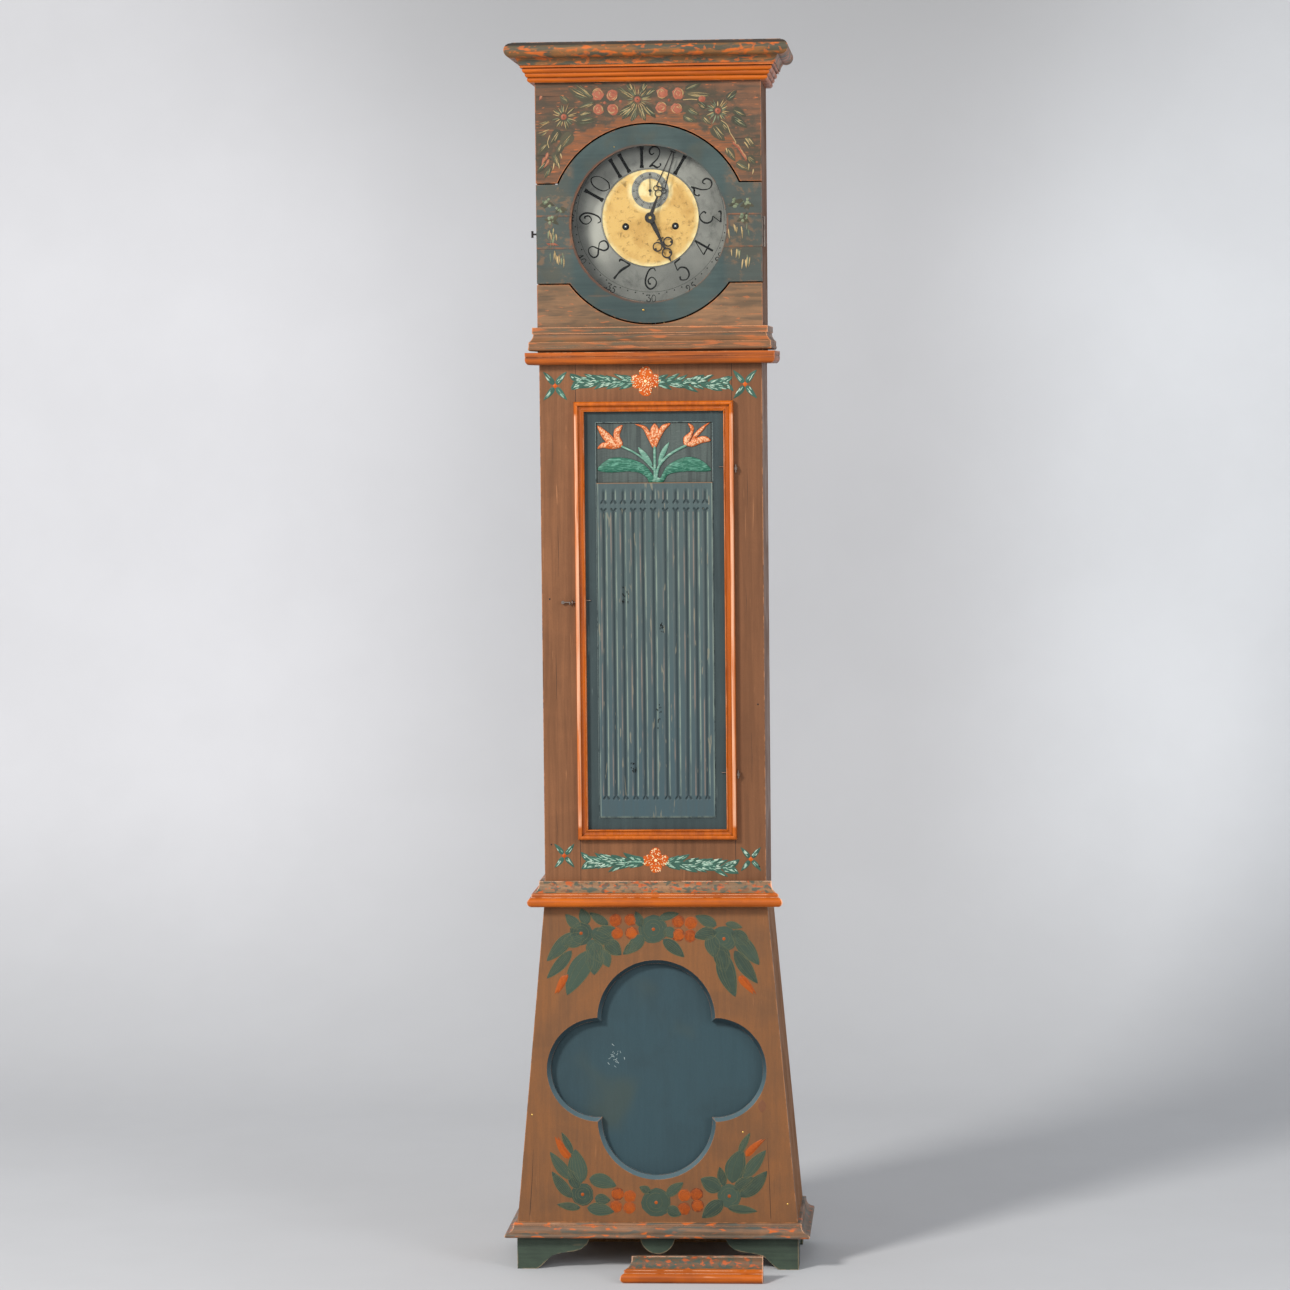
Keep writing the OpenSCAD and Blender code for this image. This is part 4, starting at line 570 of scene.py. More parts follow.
class Brush:
    """Gathers paint strokes of one colour on one face into one mesh.

    lift is how far a stroke stands off its face, and dome how much its middle rises above that.
    """

    def __init__(self, name, body, material, at, inside=None):
        self.name, self.body, self.material, self.at = name, body, material, at
        self.inside = inside
        self.verts, self.faces, self.tone = [], [], []

    def ribbon(self, path, half, lift=0.25, dome=0.3, tone=None):
        """A stroke along path. half is its half width, one number or one for each point."""
        tone = rng.random() if tone is None else tone
        path = [np.array(p, float) for p in path]
        half = np.broadcast_to(half, len(path))
        rows = []
        for i, p in enumerate(path):
            d = path[min(i + 1, len(path) - 1)] - path[max(i - 1, 0)]
            d /= max(np.linalg.norm(d), 1e-9)
            side = np.array([-d[1], d[0]]) * half[i]
            rows.append((p + side, p, p - side))
        if self.inside and not all(self.inside(*q) for row in rows for q in row):
            return
        start = len(self.verts)
        for a, b, c in rows:
            for q, h in ((a, RIM), ((a + b) / 2, lift + 0.6 * dome), (b, lift + dome),
                         ((c + b) / 2, lift + 0.6 * dome), (c, RIM)):
                self.verts.append(self.at(*q, h))
        self.tone += [tone] * (5 * len(rows))
        for i in range(len(rows) - 1):
            for s in range(start + 5 * i, start + 5 * i + 4):
                self.faces.append((s, s + 1, s + 6, s + 5))

    def leaf(self, a, b, width, bend=0.0, tone=None, lift=0.25, blunt=0.6):
        """A leaf from foot a to tip b."""
        a, b = np.array(a, float), np.array(b, float)
        d = b - a
        mid = (a + b) / 2 + np.array([-d[1], d[0]]) * bend
        path = [a * (1 - t) ** 2 + mid * 2 * t * (1 - t) + b * t * t for t in TENTHS]
        half = [width / 2 * math.sin(math.pi * t ** blunt) ** 0.8 + 0.12 for t in TENTHS]
        half[0] = half[-1] = 0.1
        self.ribbon(path, half, lift, tone=tone)

    def dot(self, c, r, tone=None, lift=0.3, dome=0.5, wobble=0.08):
        """A round dab, its rim off a true circle by up to wobble."""
        if self.inside and not self.inside(*c):
            return
        tone = rng.random() if tone is None else tone
        start, n = len(self.verts), 16
        self.verts.append(self.at(c[0], c[1], lift + dome))
        for share, h in ((0.6, lift + 0.8 * dome), (1.0, RIM)):
            for i in range(n):
                q = r * share * (1 + wobble * (rng.random() - 0.5) * 2)
                self.verts.append(self.at(*beside(c[0], c[1], q, TURN * i / n), h))
        self.tone += [tone] * (2 * n + 1)
        for i in range(n):
            s, j = start + 1, (i + 1) % n
            self.faces += [(start, s + i, s + j), (s + i, s + n + i, s + n + j, s + j)]

    def done(self):
        make(self.name, self.verts, self.faces, self.material, self.body, self.tone)


def brushes(body, face, inside, *rows):
    """A brush for each row, which names a piece and gives its paint as coloured takes it."""
    return [Brush(piece, body, coloured(*paint), face, inside) for piece, *paint in rows]


def finish_all(*stack):
    for brush in stack:
        brush.done()


# Base: flat blue-green leaves with lighter outlines, orange berries and buds
BASE_FACE = face_plane(BASE_FRONT, BASE_LEAN)
greens, lines, reds, red_lines = brushes(
    "case", BASE_FACE, None,
    ("base_leaves", "leaf_green", rgb(48, 62, 52), rgb(66, 82, 68), 0.55, 0.35, 90),
    ("base_leaf_lines", "leaf_outline", rgb(84, 92, 66), rgb(108, 104, 74), 0.55, 0.4, 120),
    ("base_berries", "berry_orange", rgb(138, 60, 10), rgb(176, 84, 18), 0.45, 0.5, 240),
    ("base_berry_lines", "berry_outline", rgb(92, 44, 22), rgb(150, 84, 44), 0.5, 0.4, 200))

# Foot, tip and width
BASE_LEAVES = (
    (-135, 610, -162, 635, 19), (-85, 616, -119, 638, 16), (-115, 606, -73, 584, 29),
    (-149, 602, -196, 551, 24), (-151, 570, -196, 520, 20), (-113, 570, -160, 490, 37),
    (-103, 586, -111, 526, 35), (-91, 586, -62, 562, 27), (-35, 586, -59, 563, 17),
    (5, 626, 42, 636, 14), (-21, 598, -53, 564, 23), (13, 590, 51, 558, 21),
    (109, 614, 71, 632, 20), (125, 618, 155, 611, 13), (109, 602, 67, 594, 23),
    (97, 598, 105, 557, 27), (141, 598, 185, 544, 28), (141, 570, 182, 511, 24),
    (117, 570, 142, 487, 33), (-151, 206, -171, 245, 12), (-152, 160, -192, 210, 20),
    (-136, 154, -147, 215, 34), (-152, 128, -189, 175, 20), (-122, 162, -73, 149, 26),
    (-138, 110, -180, 116, 14), (-126, 110, -77, 103, 23), (16, 131, 47, 156, 18),
    (18, 111, 43, 98, 20), (147, 207, 167, 245, 12), (134, 155, 153, 216, 36),
    (154, 163, 195, 214, 22), (148, 131, 197, 177, 26), (114, 143, 78, 163, 29),
    (126, 111, 179, 105, 15), (118, 123, 80, 93, 26), (-121, 618, -134, 645, 20),
    (-106, 600, -72, 610, 22), (-118, 590, -96, 548, 30), (-128, 596, -170, 582, 26),
    (-98, 572, -84, 540, 22), (-26, 612, -36, 640, 16), (20, 612, 30, 592, 20),
    (136, 604, 168, 578, 24), (112, 582, 122, 530, 30), (-142, 144, -158, 178, 22),
    (-112, 128, -84, 124, 20), (138, 144, 172, 166, 22), (120, 150, 112, 184, 16),
    (-12, 138, -32, 148, 14))
for x, z, r in ((-134, 601, 21), (-4, 608, 26), (122, 591, 23), (-134, 134, 20), (-2, 120, 26),
                (129, 132, 22)):
    greens.dot((x, z), r, lift=0.2, dome=0.15, wobble=0.05)
    for k in range(3):
        lines.ribbon(arc(x, z, r * (0.42 + 0.24 * k), 0.2, 22, rng.random() * 6), 0.32, 0.42,
                     0.12)
    reds.dot((x, z), 3.6, lift=0.55, dome=0.3)
for x0, z0, x1, z1, w in BASE_LEAVES:
    bend = rng.uniform(-0.1, 0.1)
    tone = rng.random()
    greens.leaf((x0, z0), (x1, z1), w, bend, tone, lift=rng.uniform(0.15, 0.3), blunt=0.8)
    a, run, side = stroke_frame((x0, z0), (x1, z1))
    bow = bend * np.linalg.norm(run)
    for share in (-0.5, -0.38, -0.24, -0.08, 0.08, 0.24, 0.38, 0.5):
        path = [a + run * t + side * (share * w * math.sin(math.pi * t ** 0.8) ** 0.8
                                      + bow * 2 * t * (1 - t))
                for t in (0.04 + 0.92 * t for t in TENTHS)]
        if abs(share) == 0.5:
            lines.ribbon(path, 0.42, 0.42, 0.12)
        elif rng.random() < 0.8:
            lines.ribbon(path[1:-1], 0.3, 0.5, 0.1)
for x, z in ((-72, 624), (-45, 625), (-70, 601), (-43, 601), (40, 622), (63, 619), (40, 598),
             (62, 596), (-71, 135), (-49, 131), (-74, 113), (-50, 111), (49, 133), (70, 135),
             (48, 109), (72, 115)):
    red_lines.dot((x, z), 11.8, lift=0.25, dome=0.1)
    reds.dot((x, z), 10.8, lift=0.4, dome=0.3)
    for k in range(3):
        red_lines.ribbon(arc(x, z, 8.2 - 3 * k, 1 / 3, 16), 0.35, 0.75, 0.1)
for x0, z0, x1, z1 in ((-162, 526, -182, 493), (148, 524, 174, 492), (-158, 198, -183, 237),
                       (159, 203, 189, 234)):
    reds.leaf((x0, z0), (x1, z1), 13, 0.05, 0.6, lift=0.4)
    reds.leaf((x0 + 4, z0 + 2), (x1 + 5, z1), 7, 0.05, 0.2, lift=0.5)
finish_all(greens, lines, reds, red_lines)

# Trunk: leaf garlands round an orange flower, a sprig in each corner
TRUNK_FACE = face_plane(TRUNK_FRONT)
leaves, lights, petals, dots = brushes(
    "case", TRUNK_FACE, None,
    ("trunk_leaves", "teal_leaf", rgb(46, 76, 64), rgb(58, 98, 84), 0.5, 0.4, 160),
    ("trunk_leaf_lights", "mint_stroke", rgb(96, 146, 126), rgb(190, 208, 190), 0.5, 0.3, 260),
    ("trunk_flowers", "orange_flower", rgb(172, 68, 6), rgb(200, 94, 18), 0.45, 0.5, 260),
    ("trunk_flower_dots", "cream_dab", rgb(230, 208, 150), rgb(246, 236, 206), 0.5, 0.4, 300))


def lit_leaf(a, b, width, bend, bright=0.5):
    """A dark leaf with pale strokes on it."""
    leaves.leaf(a, b, width, bend)
    a, run, side = stroke_frame(a, b)
    for k in range(rng.randint(3, 5)):
        s = rng.uniform(-0.3, 0.3) * width
        t0 = rng.uniform(0.1, 0.5)
        t1 = min(t0 + rng.uniform(0.2, 0.42), 0.94)
        lights.leaf(a + run * t0 + side * s, a + run * t1 + side * s * 0.8,
                    rng.uniform(1.2, 2.4), bend, min(1.0, rng.random() * bright * 2), lift=0.7)


def trunk_garland(zc, flower_x, x0, x1, zl, zr, size):
    """Leaves pointing outwards from the flower, above and below a stem."""
    for side, end, end_z in ((-1, x0, zl), (1, x1, zr)):
        span = abs(end - flower_x) - 30
        for i in range(9):
            s = 20 + span * i / 8
            stem = zc + (end_z - zc) * s / (span + 30) + 2 * math.sin(i * 1.7)
            for row in (1, -1, 0):
                reach = rng.uniform(21, 28) * size
                x = flower_x + side * (s - (6 if row == 0 else 0) + rng.uniform(-2, 2))
                tip = (x + side * min(reach, abs(end - flower_x) - s + 4),
                       stem + row * rng.uniform(10, 15) * size + rng.uniform(-2, 2))
                if abs(tip[0] - x) > 6:
                    lit_leaf((x, stem + row * 2.5), tip, rng.uniform(7.4, 10.2) * size,
                             side * row * rng.uniform(-0.16, 0.02), 0.3 + 0.6 * i / 8)


def trunk_flower(x, z, r):
    """Four round petals covered in cream dabs."""
    middles = [beside(x, z, r, math.radians(a), 0.9) for a in (0, 90, 180, 270)]
    for c in middles:
        petals.dot(c, r * 0.72, lift=0.35, dome=0.5, wobble=0.1)
    petals.dot((x, z), r * 0.7, lift=0.5)
    for k in range(int(r * 10)):
        q, t = r * 1.6 * math.sqrt(rng.random()), any_angle()
        p = beside(x, z, q, t, 0.9)
        if q > 4 and any(math.dist(p, c) < r * 0.62 for c in middles + [(x, z)]):
            e = rng.uniform(1.6, 2.8)
            dots.leaf(p, beside(*p, e, t + rng.uniform(-0.6, 0.6)), 1.7, lift=1.05)
    dots.dot((x, z), 3.6, 0.2, lift=1.1)


def sprig(x, z, size, bright):
    for a in (50, 130, 230, 310):
        a = math.radians(a)
        lit_leaf(beside(x, z, 3, a), beside(x, z, size, a), size * 0.3, rng.uniform(-0.1, 0.1),
                 0.4 + bright)
    petals.dot((x, z), 4.0, lift=0.6)


trunk_garland(1585, -8, -140, 142, 1586, 1580, 1.0)
trunk_flower(-9, 1586, 16.5)
trunk_garland(728, 1, -128, 145, 729, 718, 1.08)
trunk_flower(1, 731, 14)
for place in ((-170, 1579, 33, 0.2), (168, 1579, 33, 0.8), (-163, 740, 28, 0.4),
              (171, 733, 28, 0.5)):
    sprig(*place)
finish_all(leaves, lights, petals, dots)

# Hood: a dark garland with starburst flowers, roses and pale strokes
HOOD_FACE = face_plane(HOOD_FRONT)


def on_hood(x, z):
    """On the arched board above the door, clear of its edges."""
    return abs(x) < 198 and 1940 < z < 2114 and math.hypot(x, z - RING_Z) > 180


back, straws, roses, sages = brushes(
    "hood", HOOD_FACE, on_hood,
    ("hood_dark_leaves", "hood_dark_leaf", rgb(58, 58, 46), rgb(80, 74, 56), 0.6, 0.5, 60),
    ("hood_straw_strokes", "hood_straw", rgb(140, 120, 82), rgb(198, 172, 124), 0.55, 0.5, 300),
    ("hood_roses", "hood_rose", rgb(132, 68, 50), rgb(166, 100, 76), 0.55, 0.6, 200),
    ("hood_sage_strokes", "hood_sage", rgb(84, 94, 74), rgb(136, 144, 114), 0.55, 0.5, 240))


def veined(x0, z0, x1, z1, width, veins):
    """A broad dark leaf with thin pale veins fanning out of its foot."""
    back.leaf((x0, z0), (x1, z1), width * 1.15, rng.uniform(-0.1, 0.1), lift=0.12)
    a, run, side = stroke_frame((x0, z0), (x1, z1))
    for k in range(veins):
        s = rng.uniform(-0.34, 0.34) * width
        t0, t1 = rng.uniform(0.05, 0.4), rng.uniform(0.55, 0.95)
        brush = straws if rng.random() < 0.55 else sages
        brush.leaf(a + run * t0 + side * s * 0.5, a + run * t1 + side * s,
                   rng.uniform(0.7, 1.3), rng.uniform(-0.12, 0.12), rng.random() * 0.8, lift=0.5)


# Foot, tip, width and veins
HOOD_LEAVES = (
    (-100, 2084, -141, 2104, 17, 6), (-97, 2086, -128, 2112, 12, 5),
    (-140, 2079, -156, 2092, 11, 4), (-94, 2079, -124, 2068, 10, 5),
    (-129, 2044, -92, 2050, 15, 5), (-123, 2056, -98, 2063, 9, 6),
    (-172, 2048, -198, 2036, 14, 5), (-170, 2034, -198, 2020, 15, 5),
    (-156, 2031, -172, 2006, 15, 5), (-134, 2026, -160, 1998, 18, 5),
    (-176, 2010, -196, 1988, 13, 4), (-168, 1992, -158, 1964, 12, 6),
    (-180, 1976, -196, 1956, 12, 5), (-174, 1968, -184, 1946, 11, 5),
    (-152, 2008, -164, 1984, 11, 5), (-27, 2071, -56, 2056, 13, 7),
    (-24, 2070, -46, 2048, 13, 7), (-18, 2070, -30, 2044, 13, 7), (-13, 2070, -4, 2045, 13, 7),
    (-8, 2072, 14, 2050, 13, 7), (-30, 2088, -54, 2104, 13, 5), (-24, 2094, -36, 2112, 11, 5),
    (-10, 2094, -2, 2112, 11, 5), (-4, 2088, 14, 2104, 12, 5), (64, 2092, 112, 2090, 14, 7),
    (66, 2098, 96, 2110, 12, 4), (64, 2069, 92, 2054, 13, 6), (62, 2053, 88, 2042, 13, 5),
    (96, 2052, 112, 2036, 11, 6), (116, 2036, 136, 2008, 19, 5), (128, 2042, 146, 2020, 10, 4),
    (104, 2066, 88, 2078, 10, 4), (150, 2064, 174, 2050, 13, 6), (148, 2050, 176, 2030, 14, 6),
    (140, 2080, 158, 2096, 12, 5), (172, 2014, 188, 1996, 12, 7), (140, 1996, 154, 1972, 13, 5),
    (156, 1970, 182, 1954, 14, 5), (176, 1980, 190, 1966, 12, 4))
for leaf in HOOD_LEAVES:
    veined(*leaf)


def starburst(x, z, r, count, width):
    for i in range(count):
        a = TURN * (i + rng.uniform(-0.3, 0.3)) / count
        q = r * rng.uniform(0.65, 1.05)
        brush = straws if rng.random() < 0.7 else sages
        brush.leaf(beside(x, z, 8, a), beside(x, z, q, a), rng.uniform(0.6, 1.2) * width,
                   rng.uniform(-0.08, 0.08), rng.uniform(0.1, 0.9), lift=0.65)
    for i in range(count):
        a = TURN * rng.random()
        q = r * rng.uniform(0.5, 0.95)
        sages.leaf(beside(x, z, 7, a), beside(x, z, q, a), 0.6 * width, 0.0, 0.1, lift=0.45)
    roses.dot((x, z), 5.2, 0.3, lift=0.8)
    back.dot((x, z), 1.6, 0.0, lift=1.3)


def rose_flower(x, z, r):
    roses.dot((x, z), r, 0.3 + 0.4 * rng.random(), lift=0.5, wobble=0.12)
    for k in range(6):
        curl = arc(x, z, r * (0.26 + 0.14 * k), 0.2, 9, any_angle())
        straws.ribbon(curl, [0.15, 0.4, 0.6, 0.7, 0.7, 0.6, 0.5, 0.3, 0.15], 0.95, 0.2,
                      rng.uniform(0.3, 1.0))
    back.ribbon(arc(x, z, 0.6 * r, 1 / 3, 14), 0.3, 0.9, 0.1, 0.0)


for flower in ((-149, 2054, 25, 17, 1.6), (-18, 2083, 27, 22, 1.2), (124, 2061, 25, 16, 2.0)):
    starburst(*flower)
for x, z in ((-88, 2093), (-63, 2091), (-87, 2066), (-62, 2066), (26, 2094), (54, 2092),
             (24, 2068), (51, 2066)):
    rose_flower(x, z, rng.uniform(9.2, 10.2))
for x, z in ((-76, 2078), (-48, 2080), (38, 2081)):
    roses.dot((x, z), 2.6, lift=0.7)
roses.dot((96, 2083), 6.5, 0.2, lift=0.5)
for path in (((-174, 2022), (-178, 2010), (-176, 2000)), ((130, 2044), (140, 2036), (146, 2021)),
             ((63, 2081), (76, 2082), (88, 2081)), ((146, 2021), (152, 2012), (156, 2004))):
    straws.ribbon(spline(path, 5), 0.7, 0.6, 0.2, 0.7)
for x, z, tx, tz in ((-178, 1992, -184, 1976), (-184, 1984, -190, 1968), (-176, 1980, -186, 1964),
                     (157, 2002, 166, 1984), (162, 1994, 171, 1976), (168, 1986, 174, 1972),
                     (-188, 2092, -192, 2084), (150, 2006, 158, 1996)):
    roses.leaf((x, z), (tx, tz), 5.0, 0.1, lift=0.6)
    straws.leaf((x + 1, z), (tx + 1, tz + 2), 1.1, 0.1, 0.4, lift=0.9)
for x, z, tx, tz in ((-156, 1990, -153, 1980), (-160, 1974, -158, 1962), (-167, 1974, -170, 1960),
                     (-176, 1950, -177, 1940), (138, 1996, 140, 1985), (157, 1964, 154, 1950),
                     (178, 1968, 177, 1956), (172, 2012, 180, 2000), (178, 2012, 186, 2001),
                     (170, 2006, 178, 1994), (164, 1958, 160, 1946), (186, 1958, 184, 1948)):
    straws.leaf((x, z), (tx, tz), 2.0, 0.1, 0.8, lift=0.7)
finish_all(back, straws, roses, sages)

# Hood door: pale dabs on the middle blocks
ear_green = Brush("ear_sage_dabs", "hood_door", sages.material, HOOD_FACE)
ear_cream = Brush("ear_cream_strokes", "hood_door", straws.material, HOOD_FACE)
ear_dark = Brush("ear_dark_leaves", "hood_door", back.material, HOOD_FACE)
ear_red = Brush("ear_red_strokes", "hood_door", roses.material, HOOD_FACE)
for x, z in ((-180, 1903), (-158, 1894), (-171, 1872), (154, 1899), (174, 1898), (168, 1872)):
    for k in range(4):
        ear_dark.leaf((x, z), beside(x, z, 15, any_angle(), 11 / 15), 7, lift=0.1)
    for k in range(7):
        q = 7 * math.sqrt(rng.random())
        ear_green.dot(beside(x, z, q, any_angle()), rng.uniform(1.5, 3.2), lift=0.4, wobble=0.3)
for x, z, count in ((-171, 1850, 5), (-172, 1838, 4), (-166, 1806, 6), (-156, 1802, 4),
                    (150, 1852, 4), (170, 1850, 4), (152, 1806, 5), (168, 1796, 7)):
    for k in range(count):
        x0, z0 = x + rng.uniform(-9, 9), z + rng.uniform(-4, 9)
        down = rng.uniform(8, 15)
        target = ear_cream if rng.random() < 0.6 else ear_green
        target.leaf((x0 + rng.uniform(-3, 3), z0 + 4), (x0, z0 - down), rng.uniform(1.4, 2.6),
                    rng.uniform(-0.1, 0.1), lift=0.5)
for k in range(5):
    ear_red.leaf((-182 + 3 * k, 1832), (-176 + 4 * k, 1827), 1.6, lift=0.5)
finish_all(ear_green, ear_cream, ear_dark, ear_red)

# Dial: numerals, minute dots and seconds marks
DIAL_FACE = face_plane(DIAL_FRONT)
ink = Brush("dial_numerals", "case", M["black"], DIAL_FACE)
# Each digit's lines: half width, then across and up in hundredths of its box
DIGITS = {
    "0": [(0.6, 50, 0, 14, 18, 4, 50, 14, 82, 50, 100, 86, 82, 96, 50, 86, 18, 50, 0)],
    "1": [(1.5, 50, 0, 50, 100), (2.0, 50, 0, 50, 12), (2.0, 50, 86, 50, 100),
          (0.5, 20, 1, 80, 1), (0.5, 20, 99, 80, 99)],
    "2": [(0.8, 44, 70, 26, 62, 10, 70, 12, 88, 40, 100, 74, 94, 88, 72, 68, 42, 32, 20, 6, 3),
          (0.9, 6, 4, 34, 10, 66, 0, 92, 10, 90, 20)],
    "3": [(0.9, 10, 86, 12, 99, 90, 98), (0.5, 90, 98, 42, 60),
          (0.8, 42, 60, 80, 54, 96, 30, 76, 5, 38, -2, 8, 16, 20, 28)],
    "4": [(1.1, 66, 0, 66, 100), (0.45, 66, 100, 4, 30), (0.7, 4, 30, 100, 30)],
    "5": [(0.9, 90, 100, 34, 95), (0.55, 34, 95, 24, 56),
          (0.8, 24, 56, 56, 62, 92, 44, 88, 12, 50, -2, 12, 10, 18, 26)],
    "6": [(0.8, 86, 86, 70, 100, 36, 90, 10, 52, 10, 20, 44, -1, 84, 14, 90, 38, 60, 56, 30, 44,
          34, 26, 50, 24)],
    "7": [(0.9, 6, 84, 10, 97, 92, 97), (1.2, 92, 97, 50, 50, 34, 0)],
    "8": [(0.8, 50, 50, 14, 70, 20, 94, 50, 100, 82, 92, 84, 70, 50, 50, 10, 30, 14, 7, 50, 0,
          88, 8, 90, 30, 50, 50)],
}
DIGITS["9"] = [(half, *(100 - v for v in line)) for half, *line in DIGITS["6"]]
DIAL_MIDDLE, SECONDS_MIDDLE = np.array([0, DIAL_Z]), np.array([0, DIAL_Z + SECONDS_UP])


def outward(angle):
    """The direction on the dial at a clockwise angle from the top."""
    a = math.radians(angle)
    return np.array([math.sin(a), math.cos(a)])


def numeral(text, angle, r, size, weight):
    """Digits on the dial, their tops outwards, or inwards in its lower third."""
    widths = [(0.34 if c == "1" else 0.62) * size for c in text]
    gap = 0.16 * size
    out = outward(angle)
    up = -out if 120 <= angle <= 240 else out
    right = np.array([up[1], -up[0]])
    x = -(sum(widths) + gap * (len(text) - 1)) / 2
    for c, w in zip(text, widths):
        for half, *line in DIGITS[c]:
            curved = len(line) > 4
            pts = [out * r + right * (x + px / 100 * w) + up * ((pz / 100 - 0.5) * size)
                   for px, pz in zip(line[::2], line[1::2])]
            path = [p + DIAL_MIDDLE for p in spline(pts, 5 if curved else 4)]
            swell = [0.55 + 0.6 * abs(math.sin(math.pi * 1.5 * i / len(path))) if curved else 1
                     for i in range(len(path))]
            ink.ribbon(path, [weight * half * s for s in swell], 0.08, 0.1)
        x += w + gap


for hour in range(1, 13):
    numeral(str(hour), hour * 30, 107.5, 37, 1.75)
for minute in range(5, 61, 5):
    numeral(str(minute), minute * 6, 142.8, 12, 1.0)
for minute in range(60):
    if minute % 5:
        ink.dot(DIAL_MIDDLE + 135 * outward(minute * 6), 1.2, lift=0.05, dome=0.15)
ink.done()
# Painted shade: black rings deep in the winding holes and at their rims.
for name, depth, r, half, lift in (("winding_hole_shade", 180.5, 4.1, 1.35, 0.0),
                                   ("winding_hole_rim_shade", 182, 5.9, 0.45, 0.03)):
    holes = Brush(name, "case", M["black"], face_plane(depth))
    for x in (-WINDING_X, WINDING_X):
        holes.ribbon(arc(x, DIAL_Z - WINDING_DOWN, r, TURN / 24, 25), half, lift, lift)
    holes.done()
small = Brush("seconds_marks", "case", M["black"], face_plane(183))
for s in range(60):
    out = outward(s * 6)
    mark, half = ((22.2, 25.2), 0.3) if s % 5 else ((21.6, 26.0), 0.5)
    small.ribbon([SECONDS_MIDDLE + r * out for r in mark], half, 0.05, 0.06)
    if s % 5 == 0:
        for k in (-1.3, 1.3):
            beyond = SECONDS_MIDDLE + k * np.array([out[1], -out[0]])
            small.ribbon([beyond + r * out for r in (27.4, 31.4)], 0.5, 0.05, 0.06)
small.done()
graver = Brush("dial_lines", "case", M["black"], DIAL_FACE)
for r, half in ((86.8, 0.35), (88.4, 0.2), (131.5, 0.25), (148.2, 0.3)):
    graver.ribbon(arc(0, DIAL_Z, r, TURN / 120, 121), half, 0.03, 0.05)
graver.done()


# Trunk door: the carved tulips, with rounded petals, leaves and stems

def outline(row):
    """A closed curve through the points of a row."""
    p = np.reshape(np.array(row, float), (-1, 2))
    n = len(p)
    return np.array([q for i in range(n)
                     for q in catmull(p[i - 1], p[i], p[(i + 1) % n], p[(i + 2) % n], 7)])


def distance(px, pz, line, closed=False):
    """Distance from grid points to a line of points."""
    best = np.full(px.shape, 1e9)
    ends = np.roll(line, -1, 0) if closed else line[1:]
    for a, b in zip(line, ends):
        d = b - a
        t = np.clip(((px - a[0]) * d[0] + (pz - a[1]) * d[1]) / max(d @ d, 1e-9), 0, 1)
        best = np.minimum(best, np.hypot(px - a[0] - t * d[0], pz - a[1] - t * d[1]))
    return best


def within(px, pz, line):
    """Which grid points lie inside a closed line."""
    hit = np.zeros(px.shape, bool)
    for a, b in zip(line, np.roll(line, -1, 0)):
        if a[1] != b[1]:
            cross = (a[1] > pz) != (b[1] > pz)
            hit ^= cross & (px < (b[0] - a[0]) * (pz - a[1]) / (b[1] - a[1]) + a[0])
    return hit


# Outlines in millimetres: across from the door's middle, up from the field's foot
PETALS = (
    (-101, 102, -92, 80, -78, 66, -66, 63, -69, 76, -82, 90),
    (-56, 102, -69, 96, -72, 84, -68, 72, -58, 63, -56, 72, -61, 84),
    (-101, 61, -93, 71, -78, 72, -62, 70, -57, 64, -72, 60, -90, 62),
    (1.5, 104.5, -6, 95, -5, 82, 1, 72, 8, 82, 9, 95),
    (-34.5, 104, -20, 96, -12, 80, -3, 63, 1, 64, -1, 78, -8, 92, -17, 101),
    (29.6, 104.5, 15, 102, 8, 92, 2, 78, 0, 64, 4, 63, 10, 76, 19, 92),
    (60.7, 104.5, 65, 91, 53, 80, 53, 68, 59, 66, 68, 82, 71, 98),
    (100, 106, 86, 99, 72, 86, 64, 70, 70, 74, 86, 90, 92, 98),
    (101, 73.5, 90, 82, 74, 78, 60, 70, 56, 66, 68, 63, 84, 69))
BROAD_LEAVES = (
    (-101, 24, -84, 41, -65, 45, -38, 41, -16, 30, 0, 9, -3, 0.5, -10, 0.5, -13, 8, -25, 17, -46,
     20, -80, 18.5),
    (101, 22, 85, 38, 64, 45, 43, 41, 22, 28, 11, 9, 3, 0.5, 15, 0.5, 24, 13, 39, 17.5, 64, 19.5,
     85, 18.5))
SLIM_LEAVES = (
    (-28, 63, -24, 50, -12, 36, -3, 30, -7, 42, -16, 54),
    (27, 71, 15, 60, 8, 44, 8, 31, 14, 40, 22, 55),
    (-8, 1, -4, 8, 4, 10, 10, 7, 13, 1, 8, 0.4, -4, 0.4))
STEMS = ((((0, 22), (-18, 41), (-36, 54), (-58, 65)), 2.0), (((1, 4), (1, 36), (1, 64)), 2.4),
         (((3, 6), (8, 28), (22, 45), (38, 56), (56, 65)), 2.4))

HALF_W = 103.35
low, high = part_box("tulip_carving")
FIELD_X = (low.x + high.x) / 2 / MM
FIELD_Z, FIELD_TOP = low.z / MM, high.z / MM
xs, zs = np.linspace(-HALF_W, HALF_W, 290), np.linspace(0, FIELD_TOP - FIELD_Z, 152)
gx, gz = np.meshgrid(xs, zs)
relief = np.zeros(gx.shape)
petal_mask, leaf_mask, stem_mask, rim_mask = (np.zeros(gx.shape) for _ in range(4))


def claim(form, where, kind):
    """Raises the relief to form, marks it as one kind and gives back where."""
    top = where & (form > relief)
    relief[top] = form[top]
    for mask in (petal_mask, leaf_mask, stem_mask):
        mask[top] = float(mask is kind)
    return top


